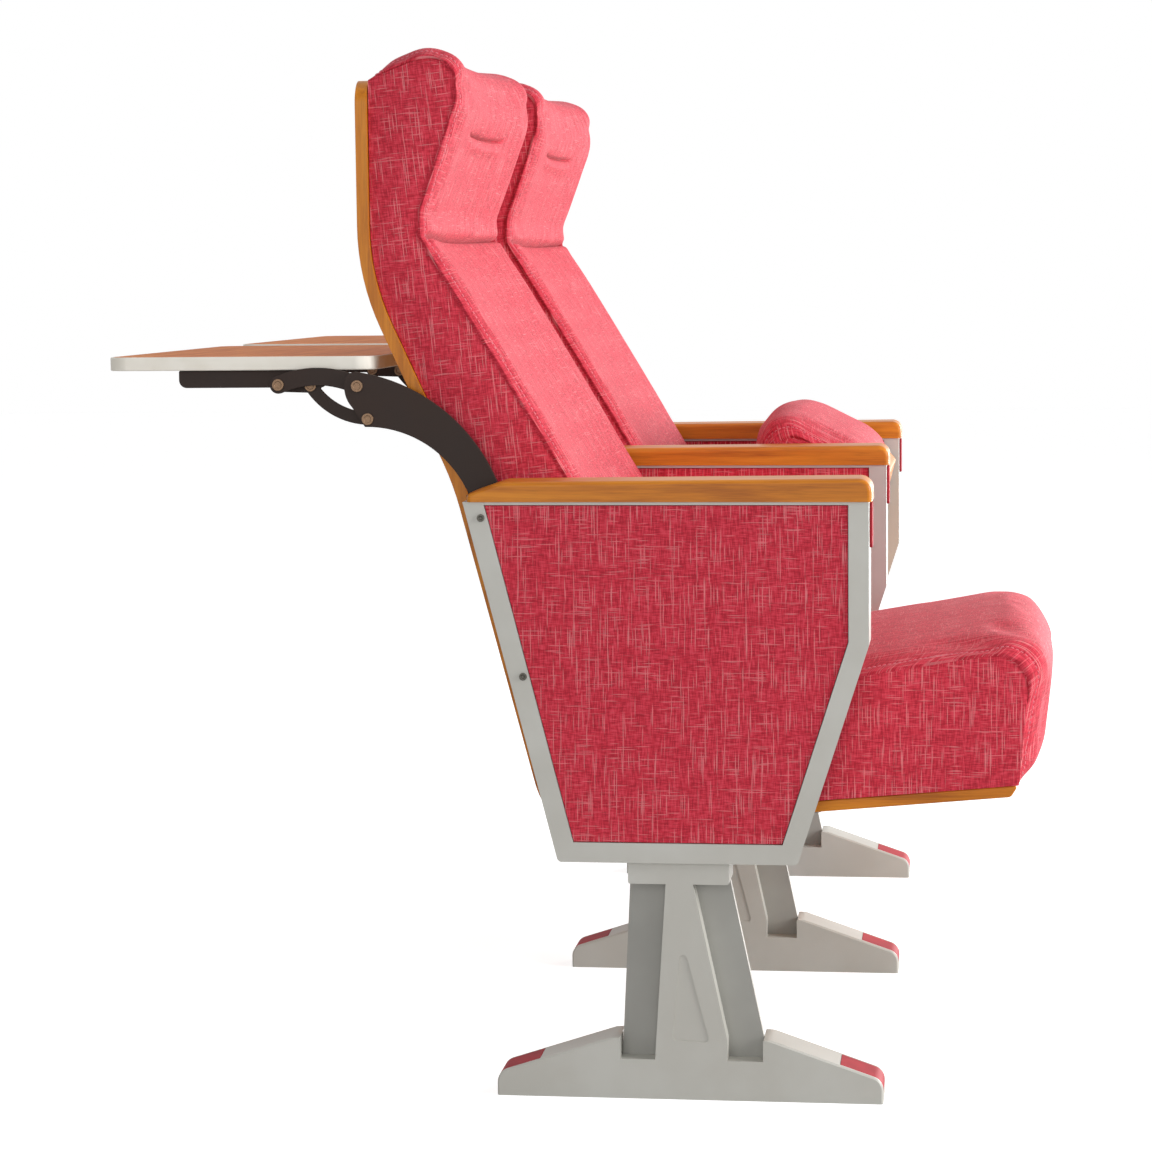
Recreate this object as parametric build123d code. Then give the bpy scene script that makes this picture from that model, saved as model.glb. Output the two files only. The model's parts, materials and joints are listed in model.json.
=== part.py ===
from build123d import *
from math import atan2, cos, degrees, radians, sin
import os

# A row of two tip up auditorium seats on three standards, with a folding writing tablet behind
# each back. Millimetres. X runs forward (the way a sitter faces), Y to the sitter's left and Z up.
# The origin is on the floor, in the middle of the middle standard's foot.
# Outlines are drawn in the XZ plane as rows of (x, z, corner radius).

# Row
seat_pitch = 580.0
standard_width = 60.0
standards = {"right_end": -seat_pitch, "middle": 0.0, "left_end": seat_pitch}
seats = {"right": -seat_pitch / 2, "left": seat_pitch / 2}
inner_face = (seat_pitch - standard_width) / 2
fit_gap = 0.3
paint_gap = 0.6

# Foot: a hollow casting with a saddle for the stem, sloping to a rounded nose at each end
foot_half_length = 195.0
foot_width = 50.0
foot_nose_height = 24.0
foot_nose_radius = 14.0
foot_shoulder_height = 62.0
foot_shoulder_length = 9.0
saddle_height = 40.5
foot_wall = 6.0
foot_rib = 12.0
foot_hollow_end = 128.0
foot_bolt_x = 168.0
foot_bolt_radius = 4.5
foot_bolt_seat = 12.0
foot_counterbore_radius = 9.0
foot_edge = 1.8

# Coloured cap over each foot bolt
cap_start = 151.5
cap_nose_height = 12.0
cap_thickness = 3.0
cap_margin = 4.0

# Stem: a tapered middle web and a thin plate that spreads towards the foot
stem_rear_bottom = -69.0
stem_front_bottom = 74.5
stem_rear_top = -60.0
stem_front_top = 41.5
stem_head_height = 22.0
stem_plate = 9.0
stem_plate_foot = 21.0
web_rear_top = -22.0
web_front_top = 5.0
web_rear_bottom = -34.0
web_front_bottom = 39.0
emboss_depth = 1.2
emboss_radius = 4.0
emboss_top = (-6.6, 167.0)
emboss_rear = (-16.5, 61.0)
emboss_front = (21.5, 59.0)

# Side frame: a folded steel channel round a middle web
frame_bottom = 242.0
frame_top = 604.0
frame_rear_bottom_x = -130.0
frame_rear_top_x = -222.3
frame_front_bottom_x = 110.0
frame_front_x = 181.0
frame_knee = 462.0
frame_corner_radius = 5.0
frame_strip = 20.0
frame_sheet = 2.5
frame_top_sheet = 3.0
web_thickness = 5.0

# Upholstered boards that fill each face of the side frame
panel_thickness = 12.0
panel_recess = 1.5
panel_stud_radius = 6.0
panel_studs = [(-140.0, 560.0), (120.0, 560.0), (-70.0, 300.0), (80.0, 300.0)]

# Armrest
arm_rest_rear = -218.0
arm_rest_front = 184.0
arm_rest_height = 23.0
arm_rest_rear_height = 8.0
arm_rest_taper = 34.0
arm_rest_rise = 3.0
arm_rest_width = 64.0
arm_rest_nose_radius = 13.0
arm_rest_edge_radius = 5.0

# Coloured strip on the front edge of each standard
front_strip_top = 602.0
front_strip_length = 45.0
front_strip_width = 24.0
front_strip_depth = 3.0

# Seat hinge
pivot_x = 52.0
pivot_z = 336.0
pivot_radius = 8.0
pivot_running_gap = 0.05
bush_wall = 3.0
boss_radius = 17.0
boss_inset = 0.5
pivot_collar_radius = 13.0
pivot_collar = 4.0
pivot_head_radius = 12.0
pivot_end_gap = 2.0
tip_angle = 70.0

# Stop: a rubber sleeved pin on the standard runs in an arc slot in the hinge plate
stop_radius = 42.0
stop_angle = 125.0
stop_pin_radius = 6.0
sleeve_wall = 3.0
sector_margin = 8.0

# Return spring on each pivot
spring_wall = 5.0
spring_gap = 0.4
spring_leg_radius = 1.5
spring_tang = 0.6
spring_anchor = 6.0
spring_leg_length = 20.0
spring_peg_radius = 3.0

# Seat
seat_side_gap = 13.0
seat_half_width = inner_face - seat_side_gap
board_thickness = 12.0
board_slope = 0.0888
board_front_x = 328.0
board_front_z = 312.5
seat_rear_x = -108.0
hinge_plate = 4.0
hinge_plate_rear = -60.0
hinge_plate_front = 165.0
hinge_plate_height = 30.0
hinge_flange = 30.0
cross_tube = 20.0
cross_tube_wall = 2.0
cross_tube_x = [-40.0, 145.0]

# Seat cushion
seat_cushion_under = (322.0, 300.0)
seat_cushion_nose = (347.0, 330.0)
seat_cushion_nose_radius = 50.0
seat_cushion_front_top = (362.5, 466.0)
seat_top_slope = 0.172
seat_cushion_front_radius = 34.0
seat_cushion_rear_radius = 30.0
seat_cushion_edge_inset = 1.0
seat_front_draw = 15.0
seat_top_draw = 8.0
seat_roll = 40.0
seat_crown = 13.0
seat_front_crown = 7.0
recess_gap = 0.5
roll_steps = [0.0, 0.1, 0.3, 0.6, 1.0]
middle_steps = [0.3, 0.55, 0.8]
spare = 15.0

# Back: a moulded plywood shell, given by the corners of its rear line, and its cushion
shell_side_gap = 15.0
shell_half_width = inner_face - shell_side_gap
shell_thickness = 12.0
shell_corner_radius = 25.0
shell_rear = [(-340.0, 1027.0, 0.0), (-339.5, 825.0, 250.0), (-244.0, 616.0, 300.0), (-157.3, 286.4, 0.0)]
back_margin = 5.0
back_half_width = shell_half_width - back_margin
back_bottom = 455.0
back_rear_foot = -140.0
back_toe_x = -60.0
back_toe_z = 527.0
back_toe_radius = 30.0
back_lumbar_radius = 60.0
back_knee = (-266.0, 871.0)
back_neck_z = 893.0
back_knee_radius = 6.0
back_neck_radius = 30.0
back_ear = (-226.5, 1003.0)
back_ear_radius = 60.0
back_brow = (-227.0, 1052.0)
back_brow_radius = 26.0
back_crest = (-270.0, 1065.8)
back_crest_radius = 20.0
back_front_draw = 11.0
back_top_draw = 15.0
back_roll = 40.0
back_hollow = 14.0
back_top_hollow = 8.0
tuck_height = 975.0
tuck_half_length = 100.0
tuck_radius = 4.0

# Brackets that carry the back
bracket_sheet = 3.0
bracket_reach = 50.0
bracket_depth = 42.0
bracket_upper = (560.0, 606.0)
bracket_lower = (318.0, 372.0)
bracket_bolt = (-146.5, 345.0)

# Frame bolts
bolt_radius = 2.5
bolt_hole_gap = 0.15
bolt_head_radius = 3.8
bolt_head = 1.8
nut_across = 8.0
nut_height = 3.5
bolt_points = [(-203.9, 588.1), (-163.2, 429.2)]

# Tablet arm and its rivets
arm_sheet = 5.0
arm_pivot = (-339.3, 717.7)
stay_pivot = (-328.8, 684.1)
arm_crown = (-261.0, 700.5)
arm_hollow = (-268.5, 658.0)
arm_tail = 16.0
arm_tail_below = 14.0
rivet_radius = 4.0
rivet_head_radius = 6.0
rivet_head = 2.0
rivet_tail = 1.6

# Tablet linkage, from the arm inwards: sheet, gap to the next layer and name
rail_pivot = (-422.4, 719.1)
rail_stay_pivot = (-390.1, 718.0)
upper_link_width = 18.0
upper_link_rise = 9.0
lower_link_width = 13.0
lower_link_sag = 9.0
link_sheet = 4.0
link_gap = 0.4
stay_head = 1.5
stay_rivet_radius = 2.5
stay_rivet_gap = 0.25
stay_slot_across = 6.8
stay_slot_along = 1.5
stay_eye_wall = 3.0
linkage = [
    (arm_sheet, link_gap, "arm"),
    (link_sheet, stay_head + 2 * link_gap, "upper link"),
    (link_sheet, link_gap, "lower link"),
    (link_sheet, link_gap, "rail"),
]

# Tablet
tablet_front_x = -322.0
tablet_rear_x = -604.7
tablet_top = 748.0
tablet_thickness = 14.0
tablet_side_gap = 0.5
tablet_corner_radius = 22.0
edge_band = 3.0
rail_rear_x = -529.0
rail_front_x = -376.0
rail_depth = 18.0
rail_flange = 24.0
rail_flange_sheet = 3.0
rail_flange_front = -442.0


# Drawing helpers

def outline(corners):
    """A closed face from rows of (x, z, corner radius)."""
    points = [(x, z) for x, z, _ in corners]
    return make_face(FilletPolyline(*points, radius=[r for _, _, r in corners], close=True))


def slab(face, y_a, y_b):
    """An XZ face made solid between two values of y."""
    low, high = sorted((y_a, y_b))
    return extrude(Plane.XZ.offset(-high) * face, amount=high - low)


def disc(centre, radius):
    return Pos(centre[0], centre[1]) * Circle(radius)


def rod(centre, radius, y_a, y_b):
    return slab(disc(centre, radius), y_a, y_b)


def ring(centre, outer, inner, y_a, y_b):
    return rod(centre, outer, y_a, y_b) - rod(centre, inner, y_a, y_b)


def shifted(corners, depths, closed=True):
    """Corners of the outline with each side moved its own depth to the left of travel."""
    count = len(corners)
    moved = []
    for i, (x, z, r) in enumerate(corners):
        first, last = i == 0 and not closed, i == count - 1 and not closed
        back = corners[i - 1] if not first else (2 * x - corners[1][0], 2 * z - corners[1][1], 0)
        ahead = corners[(i + 1) % count] if not last else (2 * x - corners[-2][0], 2 * z - corners[-2][1], 0)
        a = (Vector(x, z) - Vector(back[0], back[1])).normalized()
        b = (Vector(ahead[0], ahead[1]) - Vector(x, z)).normalized()
        turn = a.X * b.Y - a.Y * b.X
        before = depths[i] if first else depths[i - 1]
        after = depths[i - 1] if last else depths[i]
        if abs(turn) < 1e-6:
            moved.append((x - after * b.Y, z + after * b.X, r))
            continue
        s, t = -after / turn, before / turn
        bend = r - before if turn > 0 else r + before
        moved.append((x + s * a.X + t * b.X, z + s * a.Y + t * b.Y, max(bend, 0.5) if r else 0))
    return moved


def both_sides(make):
    """The solids that make(side) gives on each side of a seat."""
    return Compound(children=[solid for side in (-1, 1) for solid in make(side).solids()])


def group(parts):
    return Compound(children=[solid for part in parts for solid in part.solids()])


def side_edges(body, y, half_width):
    """The edges that lie in the two side faces of a slab about y."""
    return body.edges().filter_by(lambda e: abs(abs(e.center().Y - y) - half_width) < 0.01)


def tipped(part, turn):
    """The part turned about the seat pivot, with its front raised by turn degrees."""
    return Pos(pivot_x, 0, pivot_z) * Rot(0, -turn, 0) * Pos(-pivot_x, 0, -pivot_z) * part


# Foot and stem

def foot_outline():
    shoulder_front = stem_front_bottom + fit_gap
    shoulder_rear = stem_rear_bottom - fit_gap
    return outline([
        (-foot_half_length, 0, 0),
        (foot_half_length, 0, 0),
        (foot_half_length, foot_nose_height, foot_nose_radius),
        (shoulder_front + foot_shoulder_length, foot_shoulder_height, 0),
        (shoulder_front, foot_shoulder_height, 1),
        (shoulder_front, saddle_height, 0),
        (shoulder_rear, saddle_height, 0),
        (shoulder_rear, foot_shoulder_height, 1),
        (shoulder_rear - foot_shoulder_length, foot_shoulder_height, 0),
        (-foot_half_length, foot_nose_height, foot_nose_radius),
    ])


def cap_band(gap):
    """The skin of the foot's outline over each bolt, thinned and shortened by gap."""
    skin = foot_outline() - offset(foot_outline(), -(cap_thickness - gap))
    length = foot_half_length - cap_start
    height = foot_shoulder_height - cap_nose_height
    windows = Sketch()
    for side in (-1, 1):
        x = side * (cap_start + gap + length / 2)
        windows += Pos(x, cap_nose_height + gap + height / 2) * Rectangle(length, height)
    return skin & windows


def foot(y):
    body = slab(foot_outline(), y - foot_width / 2, y + foot_width / 2)
    slopes = [e for e in side_edges(body, y, foot_width / 2)
              if e.center().Z > 1 and abs(e.center().X) > stem_front_bottom + foot_shoulder_length + 1]
    body = chamfer(slopes, foot_edge)
    pocket = offset(foot_outline(), -foot_wall)
    for side in (-1, 1):
        middle = side * (foot_rib / 2 + foot_hollow_end) / 2
        window = Pos(middle, 0) * Rectangle(foot_hollow_end - foot_rib / 2, 2 * foot_shoulder_height)
        low = Pos(middle, 0) * Rectangle(foot_hollow_end - foot_rib / 2, 2 * foot_wall + 2)
        body -= slab((pocket & window) + low, y - foot_width / 2 + foot_wall, y + foot_width / 2 - foot_wall)
        body -= Pos(side * foot_bolt_x, y, 0) * Cylinder(foot_bolt_radius, 3 * foot_bolt_seat)
        seat = Cylinder(foot_counterbore_radius, foot_shoulder_height, align=(Align.CENTER, Align.CENTER, Align.MIN))
        body -= Pos(side * foot_bolt_x, y, foot_bolt_seat) * seat
    return body - slab(cap_band(0), y - foot_width / 2 + cap_margin, y + foot_width / 2 - cap_margin)


def foot_caps(y):
    half = foot_width / 2 - cap_margin - fit_gap
    return slab(cap_band(fit_gap), y - half, y + half)


def stem(y):
    head = frame_bottom - stem_head_height
    plate = outline([
        (stem_rear_bottom, saddle_height, 0),
        (stem_front_bottom, saddle_height, 0),
        (stem_front_bottom, saddle_height + stem_plate_foot, 3),
        (stem_front_top, head, 0),
        (stem_front_top, frame_bottom, 0),
        (stem_rear_top, frame_bottom, 0),
        (stem_rear_top, head, 0),
    ])
    cap = outline([
        (stem_rear_top, head, 2),
        (stem_front_top, head, 2),
        (stem_front_top, frame_bottom, 0),
        (stem_rear_top, frame_bottom, 0),
    ])
    web = outline([
        (web_rear_bottom, saddle_height, 0),
        (web_front_bottom, saddle_height, 0),
        (web_front_bottom, saddle_height + stem_plate_foot, 6),
        (web_front_top, head + 1, 0),
        (web_rear_top, head + 1, 0),
    ])
    half = foot_width / 2
    body = slab(plate, y - stem_plate / 2, y + stem_plate / 2)
    body += slab(cap, y - half, y + half) + slab(web, y - half, y + half)
    mark = outline([(*emboss_rear, emboss_radius), (*emboss_front, emboss_radius), (*emboss_top, emboss_radius)])
    for side in (-1, 1):
        body -= slab(mark, y + side * half, y + side * (half - emboss_depth))
    return body


# Side frame

def frame_corners(top):
    """The side frame's outline, with its rear edge run on to the height top."""
    lean = (frame_rear_top_x - frame_rear_bottom_x) / (frame_top - frame_bottom)
    rear_top = frame_rear_bottom_x + lean * (top - frame_bottom)
    return [
        (frame_rear_bottom_x, frame_bottom, frame_corner_radius),
        (frame_front_bottom_x, frame_bottom, frame_corner_radius),
        (frame_front_x, frame_knee, frame_corner_radius),
        (frame_front_x, top, 0),
        (rear_top, top, 0),
    ]


def frame_window(gap):
    """The opening that an upholstered board fills, less gap all round."""
    corners = frame_corners(frame_top + frame_strip - frame_top_sheet)
    return outline([(x, z, 0) for x, z, _ in shifted(corners, [frame_strip + gap] * len(corners))])


def stop_point():
    angle = radians(stop_angle)
    return (pivot_x + stop_radius * cos(angle), pivot_z + stop_radius * sin(angle))


def frame_sides(name):
    """The faces of a standard that carry a seat: -1 looks to the right, 1 to the left."""
    return {"right_end": [1], "middle": [-1, 1], "left_end": [-1]}[name]


def side_frame(name, y):
    half = standard_width / 2
    corners = frame_corners(frame_top)
    body = slab(outline(corners), y - half, y + half)
    body -= slab(frame_window(0), y - half, y + half)
    inside = outline([(x, z, 0) for x, z, _ in shifted(corners, [frame_sheet] * 3 + [frame_top_sheet, frame_sheet])])
    hollow = half - frame_sheet
    body -= slab(inside, y - hollow, y + hollow)
    web = outline([(x, z, 0) for x, z, _ in shifted(corners, [frame_sheet] * len(corners))])
    body += slab(web, y - web_thickness / 2, y + web_thickness / 2)
    panel_back = half - panel_recess - panel_thickness
    for side in (-1, 1):
        for point in panel_studs:
            body += rod(point, panel_stud_radius, y + side * web_thickness / 2, y + side * panel_back)
    pivot = (pivot_x, pivot_z)
    for side in frame_sides(name):
        body += rod(pivot, boss_radius, y + side * web_thickness / 2, y + side * (half - boss_inset))
        pin_end = seat_pitch / 2 - seat_half_width + hinge_plate
        body += rod(stop_point(), stop_pin_radius, y + side * web_thickness / 2, y + side * pin_end)
        bore = pivot_radius + pivot_running_gap + bush_wall + pivot_running_gap
        body -= rod(pivot, bore, y + side * web_thickness / 2, y + side * half)
        deep = half - boss_inset - spring_anchor - spring_gap
        body -= rod(spring_tang_point(), spring_leg_radius + 0.2, y + side * deep, y + side * half)
    for point in bolt_points:
        body -= rod(point, bolt_radius + bolt_hole_gap, y - half, y + half)
    for side in frame_sides(name):
        body -= rod(bracket_bolt, bolt_radius + bolt_hole_gap, y + side * half, y + side * (half - 8))
    return body


def side_panels(name, y):
    outer = standard_width / 2 - panel_recess
    panels = []
    for side in (-1, 1):
        panel = slab(frame_window(paint_gap), y + side * outer, y + side * (outer - panel_thickness))
        if side in frame_sides(name):
            through = (y + side * outer, y + side * (outer - panel_thickness))
            panel -= rod((pivot_x, pivot_z), boss_radius + paint_gap, *through)
            panel -= rod(stop_point(), stop_pin_radius + paint_gap, *through)
        panels.append(panel)
    return group(panels)


def armrest(name, y):
    top = frame_top + arm_rest_height
    profile = outline([
        (arm_rest_rear, frame_top, 0),
        (arm_rest_front, frame_top, 0),
        (arm_rest_front, top, arm_rest_nose_radius),
        (arm_rest_rear + arm_rest_taper, top - arm_rest_rise, 30),
        (arm_rest_rear, frame_top + arm_rest_rear_height, 6),
    ])
    body = slab(profile, y - arm_rest_width / 2, y + arm_rest_width / 2)
    rim = [e for e in side_edges(body, y, arm_rest_width / 2) if e.center().Z > frame_top + 0.01]
    body = fillet(rim, arm_rest_edge_radius)
    for side in frame_sides(name):
        rebate = offset(arm_outline(), paint_gap)
        body -= slab(rebate, y + side * standard_width / 2, y + side * (arm_rest_width / 2 + 1))
    return body


def front_strip(y):
    half = front_strip_width / 2
    top, bottom = front_strip_top, front_strip_top - front_strip_length
    plate = Plane.YZ.offset(frame_front_x) * Pos(y, (top + bottom) / 2) * RectangleRounded(
        2 * half, front_strip_length, half * 0.5)
    return extrude(plate, amount=front_strip_depth)


def bolt(point, y_head, y_nut):
    """A through bolt: button head at y_head, hexagon nut seated on y_nut."""
    away = 1 if y_head > y_nut else -1
    shank = rod(point, bolt_radius, y_head, y_nut - away * (nut_height - 0.5))
    head = rod(point, bolt_head_radius, y_head, y_head + away * bolt_head)
    nut = slab(Pos(*point) * RegularPolygon(nut_across / 2, 6, major_radius=False), y_nut, y_nut - away * nut_height)
    return shank + head + nut


def frame_bolts():
    """Bolts through the rear posts that also hold the tablet arms and the upper back brackets."""
    half = standard_width / 2
    over_arm = half + arm_sheet
    stack = {bolt_points[0]: over_arm + bracket_sheet, bolt_points[1]: over_arm}
    parts = []
    for name, y in standards.items():
        for point in bolt_points:
            inner = stack[point]
            head, nut = {"right_end": (-half, inner), "middle": (-inner, inner), "left_end": (half, -inner)}[name]
            parts.append(bolt(point, y + head, y + nut))
    return group(parts)


# Seat: drawn tipped down, about a seat centre at y

def board_z(x):
    return board_front_z + (x - board_front_x) * board_slope


def side_range(y, side, near, far):
    return y + side * near, y + side * far


def seat_board(y):
    drop = board_thickness
    profile = outline([
        (seat_rear_x, board_z(seat_rear_x) - drop, 3),
        (board_front_x - 0.6 * drop, board_z(board_front_x) - drop, 6),
        (board_front_x, board_z(board_front_x), 2),
        (seat_rear_x, board_z(seat_rear_x), 0),
    ])
    return slab(profile, y - seat_half_width, y + seat_half_width)


def hinge_outline():
    """The sector round the pivot and the foot that lies along the board."""
    reach = stop_radius + stop_pin_radius + sleeve_wall + fit_gap + sector_margin
    rise = hinge_plate_height
    foot_plate = outline([
        (hinge_plate_rear, board_z(hinge_plate_rear), 0),
        (hinge_plate_front, board_z(hinge_plate_front), 0),
        (hinge_plate_front, board_z(hinge_plate_front) + rise, 8),
        (hinge_plate_rear, board_z(hinge_plate_rear) + rise, 8),
    ])
    below = outline([
        (pivot_x - 2 * reach, board_z(pivot_x - 2 * reach) - reach, 0),
        (pivot_x + 2 * reach, board_z(pivot_x + 2 * reach) - reach, 0),
        (pivot_x + 2 * reach, board_z(pivot_x + 2 * reach), 0),
        (pivot_x - 2 * reach, board_z(pivot_x - 2 * reach), 0),
    ])
    return foot_plate + (disc((pivot_x, pivot_z), reach) - below)


def stop_slot():
    """The arc that the sleeved stop pin travels in, with clearance at both ends."""
    extra = degrees(fit_gap / stop_radius)
    start = stop_angle - tip_angle - extra
    arc = CenterArc((0, 0), stop_radius, start, tip_angle + 2 * extra)
    width = 2 * (stop_pin_radius + sleeve_wall + fit_gap)
    return Pos(pivot_x, pivot_z) * SlotArc(arc, width)


def cross_tubes(y, size, reach):
    """Square bars of the given size across the seat, lying on the board."""
    bars = []
    for x in cross_tube_x:
        tilt = degrees(atan2(board_slope, 1))
        face = Pos(x, board_z(x)) * Rot(0, 0, tilt) * Pos(0, cross_tube / 2) * Rectangle(size, size)
        bars.append(slab(face, y - reach, y + reach))
    return bars


def seat_frame(y):
    """Hinge plates, their flanges on the board and two cross tubes, welded together."""
    outer, inner = seat_half_width, seat_half_width - hinge_plate
    body = Part()
    for side in (-1, 1):
        plate = slab(hinge_outline() - stop_slot(), *side_range(y, side, outer, inner))
        flange = outline([
            (hinge_plate_rear, board_z(hinge_plate_rear), 0),
            (hinge_plate_front, board_z(hinge_plate_front), 0),
            (hinge_plate_front, board_z(hinge_plate_front) + hinge_plate, 0),
            (hinge_plate_rear, board_z(hinge_plate_rear) + hinge_plate, 0),
        ])
        plate += slab(flange, *side_range(y, side, outer, outer - hinge_flange))
        plate -= rod((pivot_x, pivot_z), pivot_radius + pivot_running_gap, *side_range(y, side, outer, inner))
        peg = spring_peg_point()
        plate += rod(peg, spring_peg_radius, *side_range(y, side, inner, outer + pivot_collar + 5))
        body += plate
    for bar in cross_tubes(y, cross_tube, inner):
        body += bar
    for core in cross_tubes(y, cross_tube - 2 * cross_tube_wall, inner):
        body -= core
    return body


def spring_outer():
    return pivot_radius + spring_gap + spring_wall


def spring_tang_point():
    """Where the spring's fixed leg turns into the boss on the standard."""
    return (pivot_x, pivot_z - spring_outer() - spring_tang)


def spring_peg_point():
    """Peg on the hinge plate that the spring's free leg pushes up."""
    lift = spring_leg_radius + spring_peg_radius + fit_gap
    return (pivot_x + spring_outer() + spring_leg_length - spring_peg_radius, pivot_z + lift)


def return_springs(y, tip):
    """Closed coils on the pivots, drawn as their sleeve, a fixed tang and a leg under the seat's peg."""
    near = seat_half_width + pivot_collar + spring_gap
    far = inner_face + boss_inset - spring_gap

    def one(side):
        coil = ring((pivot_x, pivot_z), spring_outer(), pivot_radius + spring_gap, *side_range(y, side, near, far))
        coil += rod(spring_tang_point(), spring_leg_radius, *side_range(y, side, near, far + spring_anchor))
        start = spring_outer() - 1
        free = Pos(pivot_x + start, y + side * (near + far) / 2, pivot_z) * Rot(0, 90, 0) * Cylinder(
            spring_leg_radius, spring_leg_length + 1, align=(Align.CENTER, Align.CENTER, Align.MIN))
        return coil + tipped(free, tip)
    return both_sides(one)


def pivot_pins(y):
    centre = (pivot_x, pivot_z)
    end = seat_pitch / 2 - web_thickness / 2 - pivot_end_gap

    def one(side):
        inner = seat_half_width - hinge_plate
        pin = rod(centre, pivot_radius, *side_range(y, side, inner - pivot_collar, end))
        pin += rod(centre, pivot_collar_radius, *side_range(y, side, seat_half_width, seat_half_width + pivot_collar))
        return pin + rod(centre, pivot_head_radius, *side_range(y, side, inner - pivot_collar, inner))
    return both_sides(one)


def pivot_bushes(y):
    bore = pivot_radius + pivot_running_gap
    near, far = inner_face + boss_inset, seat_pitch / 2 - web_thickness / 2
    return both_sides(lambda side: ring(
        (pivot_x, pivot_z), bore + bush_wall, bore, *side_range(y, side, near, far)))


def stop_sleeves(y):
    outer = stop_pin_radius + sleeve_wall
    return both_sides(lambda side: ring(
        stop_point(), outer, stop_pin_radius, *side_range(y, side, seat_half_width - hinge_plate, seat_half_width + 4)))


def seat_cushion_corners(front, top):
    """The seat cushion's profile, moved in by front and top and carried on below the board's face."""
    front_x, front_z = seat_cushion_front_top
    rear_z = front_z - seat_top_slope * (front_x - seat_rear_x)
    corners = [
        (seat_rear_x, board_z(seat_rear_x) - spare, 0),
        (*seat_cushion_under, 0),
        (*seat_cushion_nose, seat_cushion_nose_radius),
        (front_x, front_z, seat_cushion_front_radius),
        (seat_rear_x, rear_z, seat_cushion_rear_radius),
    ]
    moved = shifted(corners, [0, front, front, top, 0])
    return [(x, z, r) for (x, z, _), (_, _, r) in zip(moved, corners)]


def over_board():
    """Everything above the board's face, with the seat's running clearance."""
    rear, front, high = seat_rear_x - spare, seat_cushion_front_top[0] + spare, 2 * pivot_z
    return outline([
        (rear, board_z(rear) + fit_gap, 0), (front, board_z(front) + fit_gap, 0), (front, high, 0), (rear, high, 0),
    ])


def cushion(y, half_width, roll, draws, swells, corners_at):
    """A cushion lofted across its profiles: drawn in at its rolled edges, swelling to its middle."""
    rolled = [half_width - roll * step for step in roll_steps]
    spread = rolled + [rolled[-1] * (1 - step) for step in middle_steps]
    profiles = []
    for place in spread + [0.0] + [-place for place in reversed(spread)]:
        edge = max(0, 1 - (half_width - abs(place)) / roll) ** 2
        swell = 1 - (place / half_width) ** 2
        depths = [draw * edge - rise * swell for draw, rise in zip(draws, swells)]
        profiles.append(Plane.XZ.offset(-(y + place)) * outline(corners_at(*depths)))
    return loft(profiles, ruled=True)


def seat_cushion(y):
    half = seat_half_width - seat_cushion_edge_inset
    body = cushion(y, half, seat_roll, (seat_front_draw, seat_top_draw), (seat_front_crown, seat_crown),
                   seat_cushion_corners)
    body &= slab(over_board(), y - seat_half_width, y + seat_half_width)
    for side in (-1, 1):
        pocket = offset(hinge_outline(), recess_gap)
        body -= slab(pocket, *side_range(y, side, half + 1, seat_half_width - hinge_plate - recess_gap))
        body -= rod((pivot_x, pivot_z), pivot_head_radius + recess_gap,
                    *side_range(y, side, half, seat_half_width - hinge_plate - pivot_collar - recess_gap))
        body -= slab(flange_recess(), *side_range(y, side, half, seat_half_width - hinge_flange - recess_gap))
    for bar in cross_tubes(y, cross_tube + 2 * recess_gap, seat_half_width):
        body -= bar
    return body


def flange_recess():
    rear, front = hinge_plate_rear - recess_gap, hinge_plate_front + recess_gap
    rise = hinge_plate + 2
    return outline([
        (rear, board_z(rear) - 2, 0), (front, board_z(front) - 2, 0),
        (front, board_z(front) + rise, 0), (rear, board_z(rear) + rise, 0),
    ])


# Back

def shell_line(depth):
    """The shell's rear line moved forward by depth, from top to bottom."""
    return shifted(shell_rear, [depth] * len(shell_rear), closed=False)


def back_shell(y):
    profile = outline(shell_rear + list(reversed(shell_line(shell_thickness))))
    body = slab(profile, y - shell_half_width, y + shell_half_width)
    top, bottom = shell_rear[0][1], shell_rear[-1][1]
    window = Plane.YZ * Pos(y, (top + bottom) / 2) * RectangleRounded(
        2 * shell_half_width, top - bottom + 0.01, shell_corner_radius)
    return body & extrude(window, amount=2 * shell_rear[0][0])


def back_corners(front, top):
    """The back cushion's profile, moved in by front and top and carried on behind the shell's face."""
    top_x, top_z = shell_line(shell_thickness)[0][:2]
    slope = (back_crest[1] - top_z) / (back_crest[0] - top_x)
    behind = top_x - spare
    corners = [
        (2 * back_rear_foot - back_toe_x, back_bottom, 0),
        (back_toe_x, back_bottom, back_toe_radius),
        (back_toe_x, back_toe_z, back_lumbar_radius),
        (*back_knee, back_knee_radius),
        (back_knee[0], back_neck_z, back_neck_radius),
        (*back_ear, back_ear_radius),
        (*back_brow, back_brow_radius),
        (*back_crest, back_crest_radius),
        (behind, top_z - spare * slope, 0),
        (behind, back_knee[1] - 3 * spare, 0),
    ]
    moved = shifted(corners, [top, front, front, front, front, front, top, top, 0, 0])
    return [(x, z, r) for (x, z, _), (_, _, r) in zip(moved, corners)]


def before_shell():
    """Everything in front of the shell's face, with the cushion's clearance."""
    high, low = 2 * back_crest[1], 0
    line = [(x, z, r) for x, z, r in shell_line(shell_thickness + fit_gap)]
    ahead = -2 * back_toe_x
    return outline([(line[0][0], high, 0), *line, (line[-1][0], low, 0), (ahead, low, 0), (ahead, high, 0)])


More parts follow.
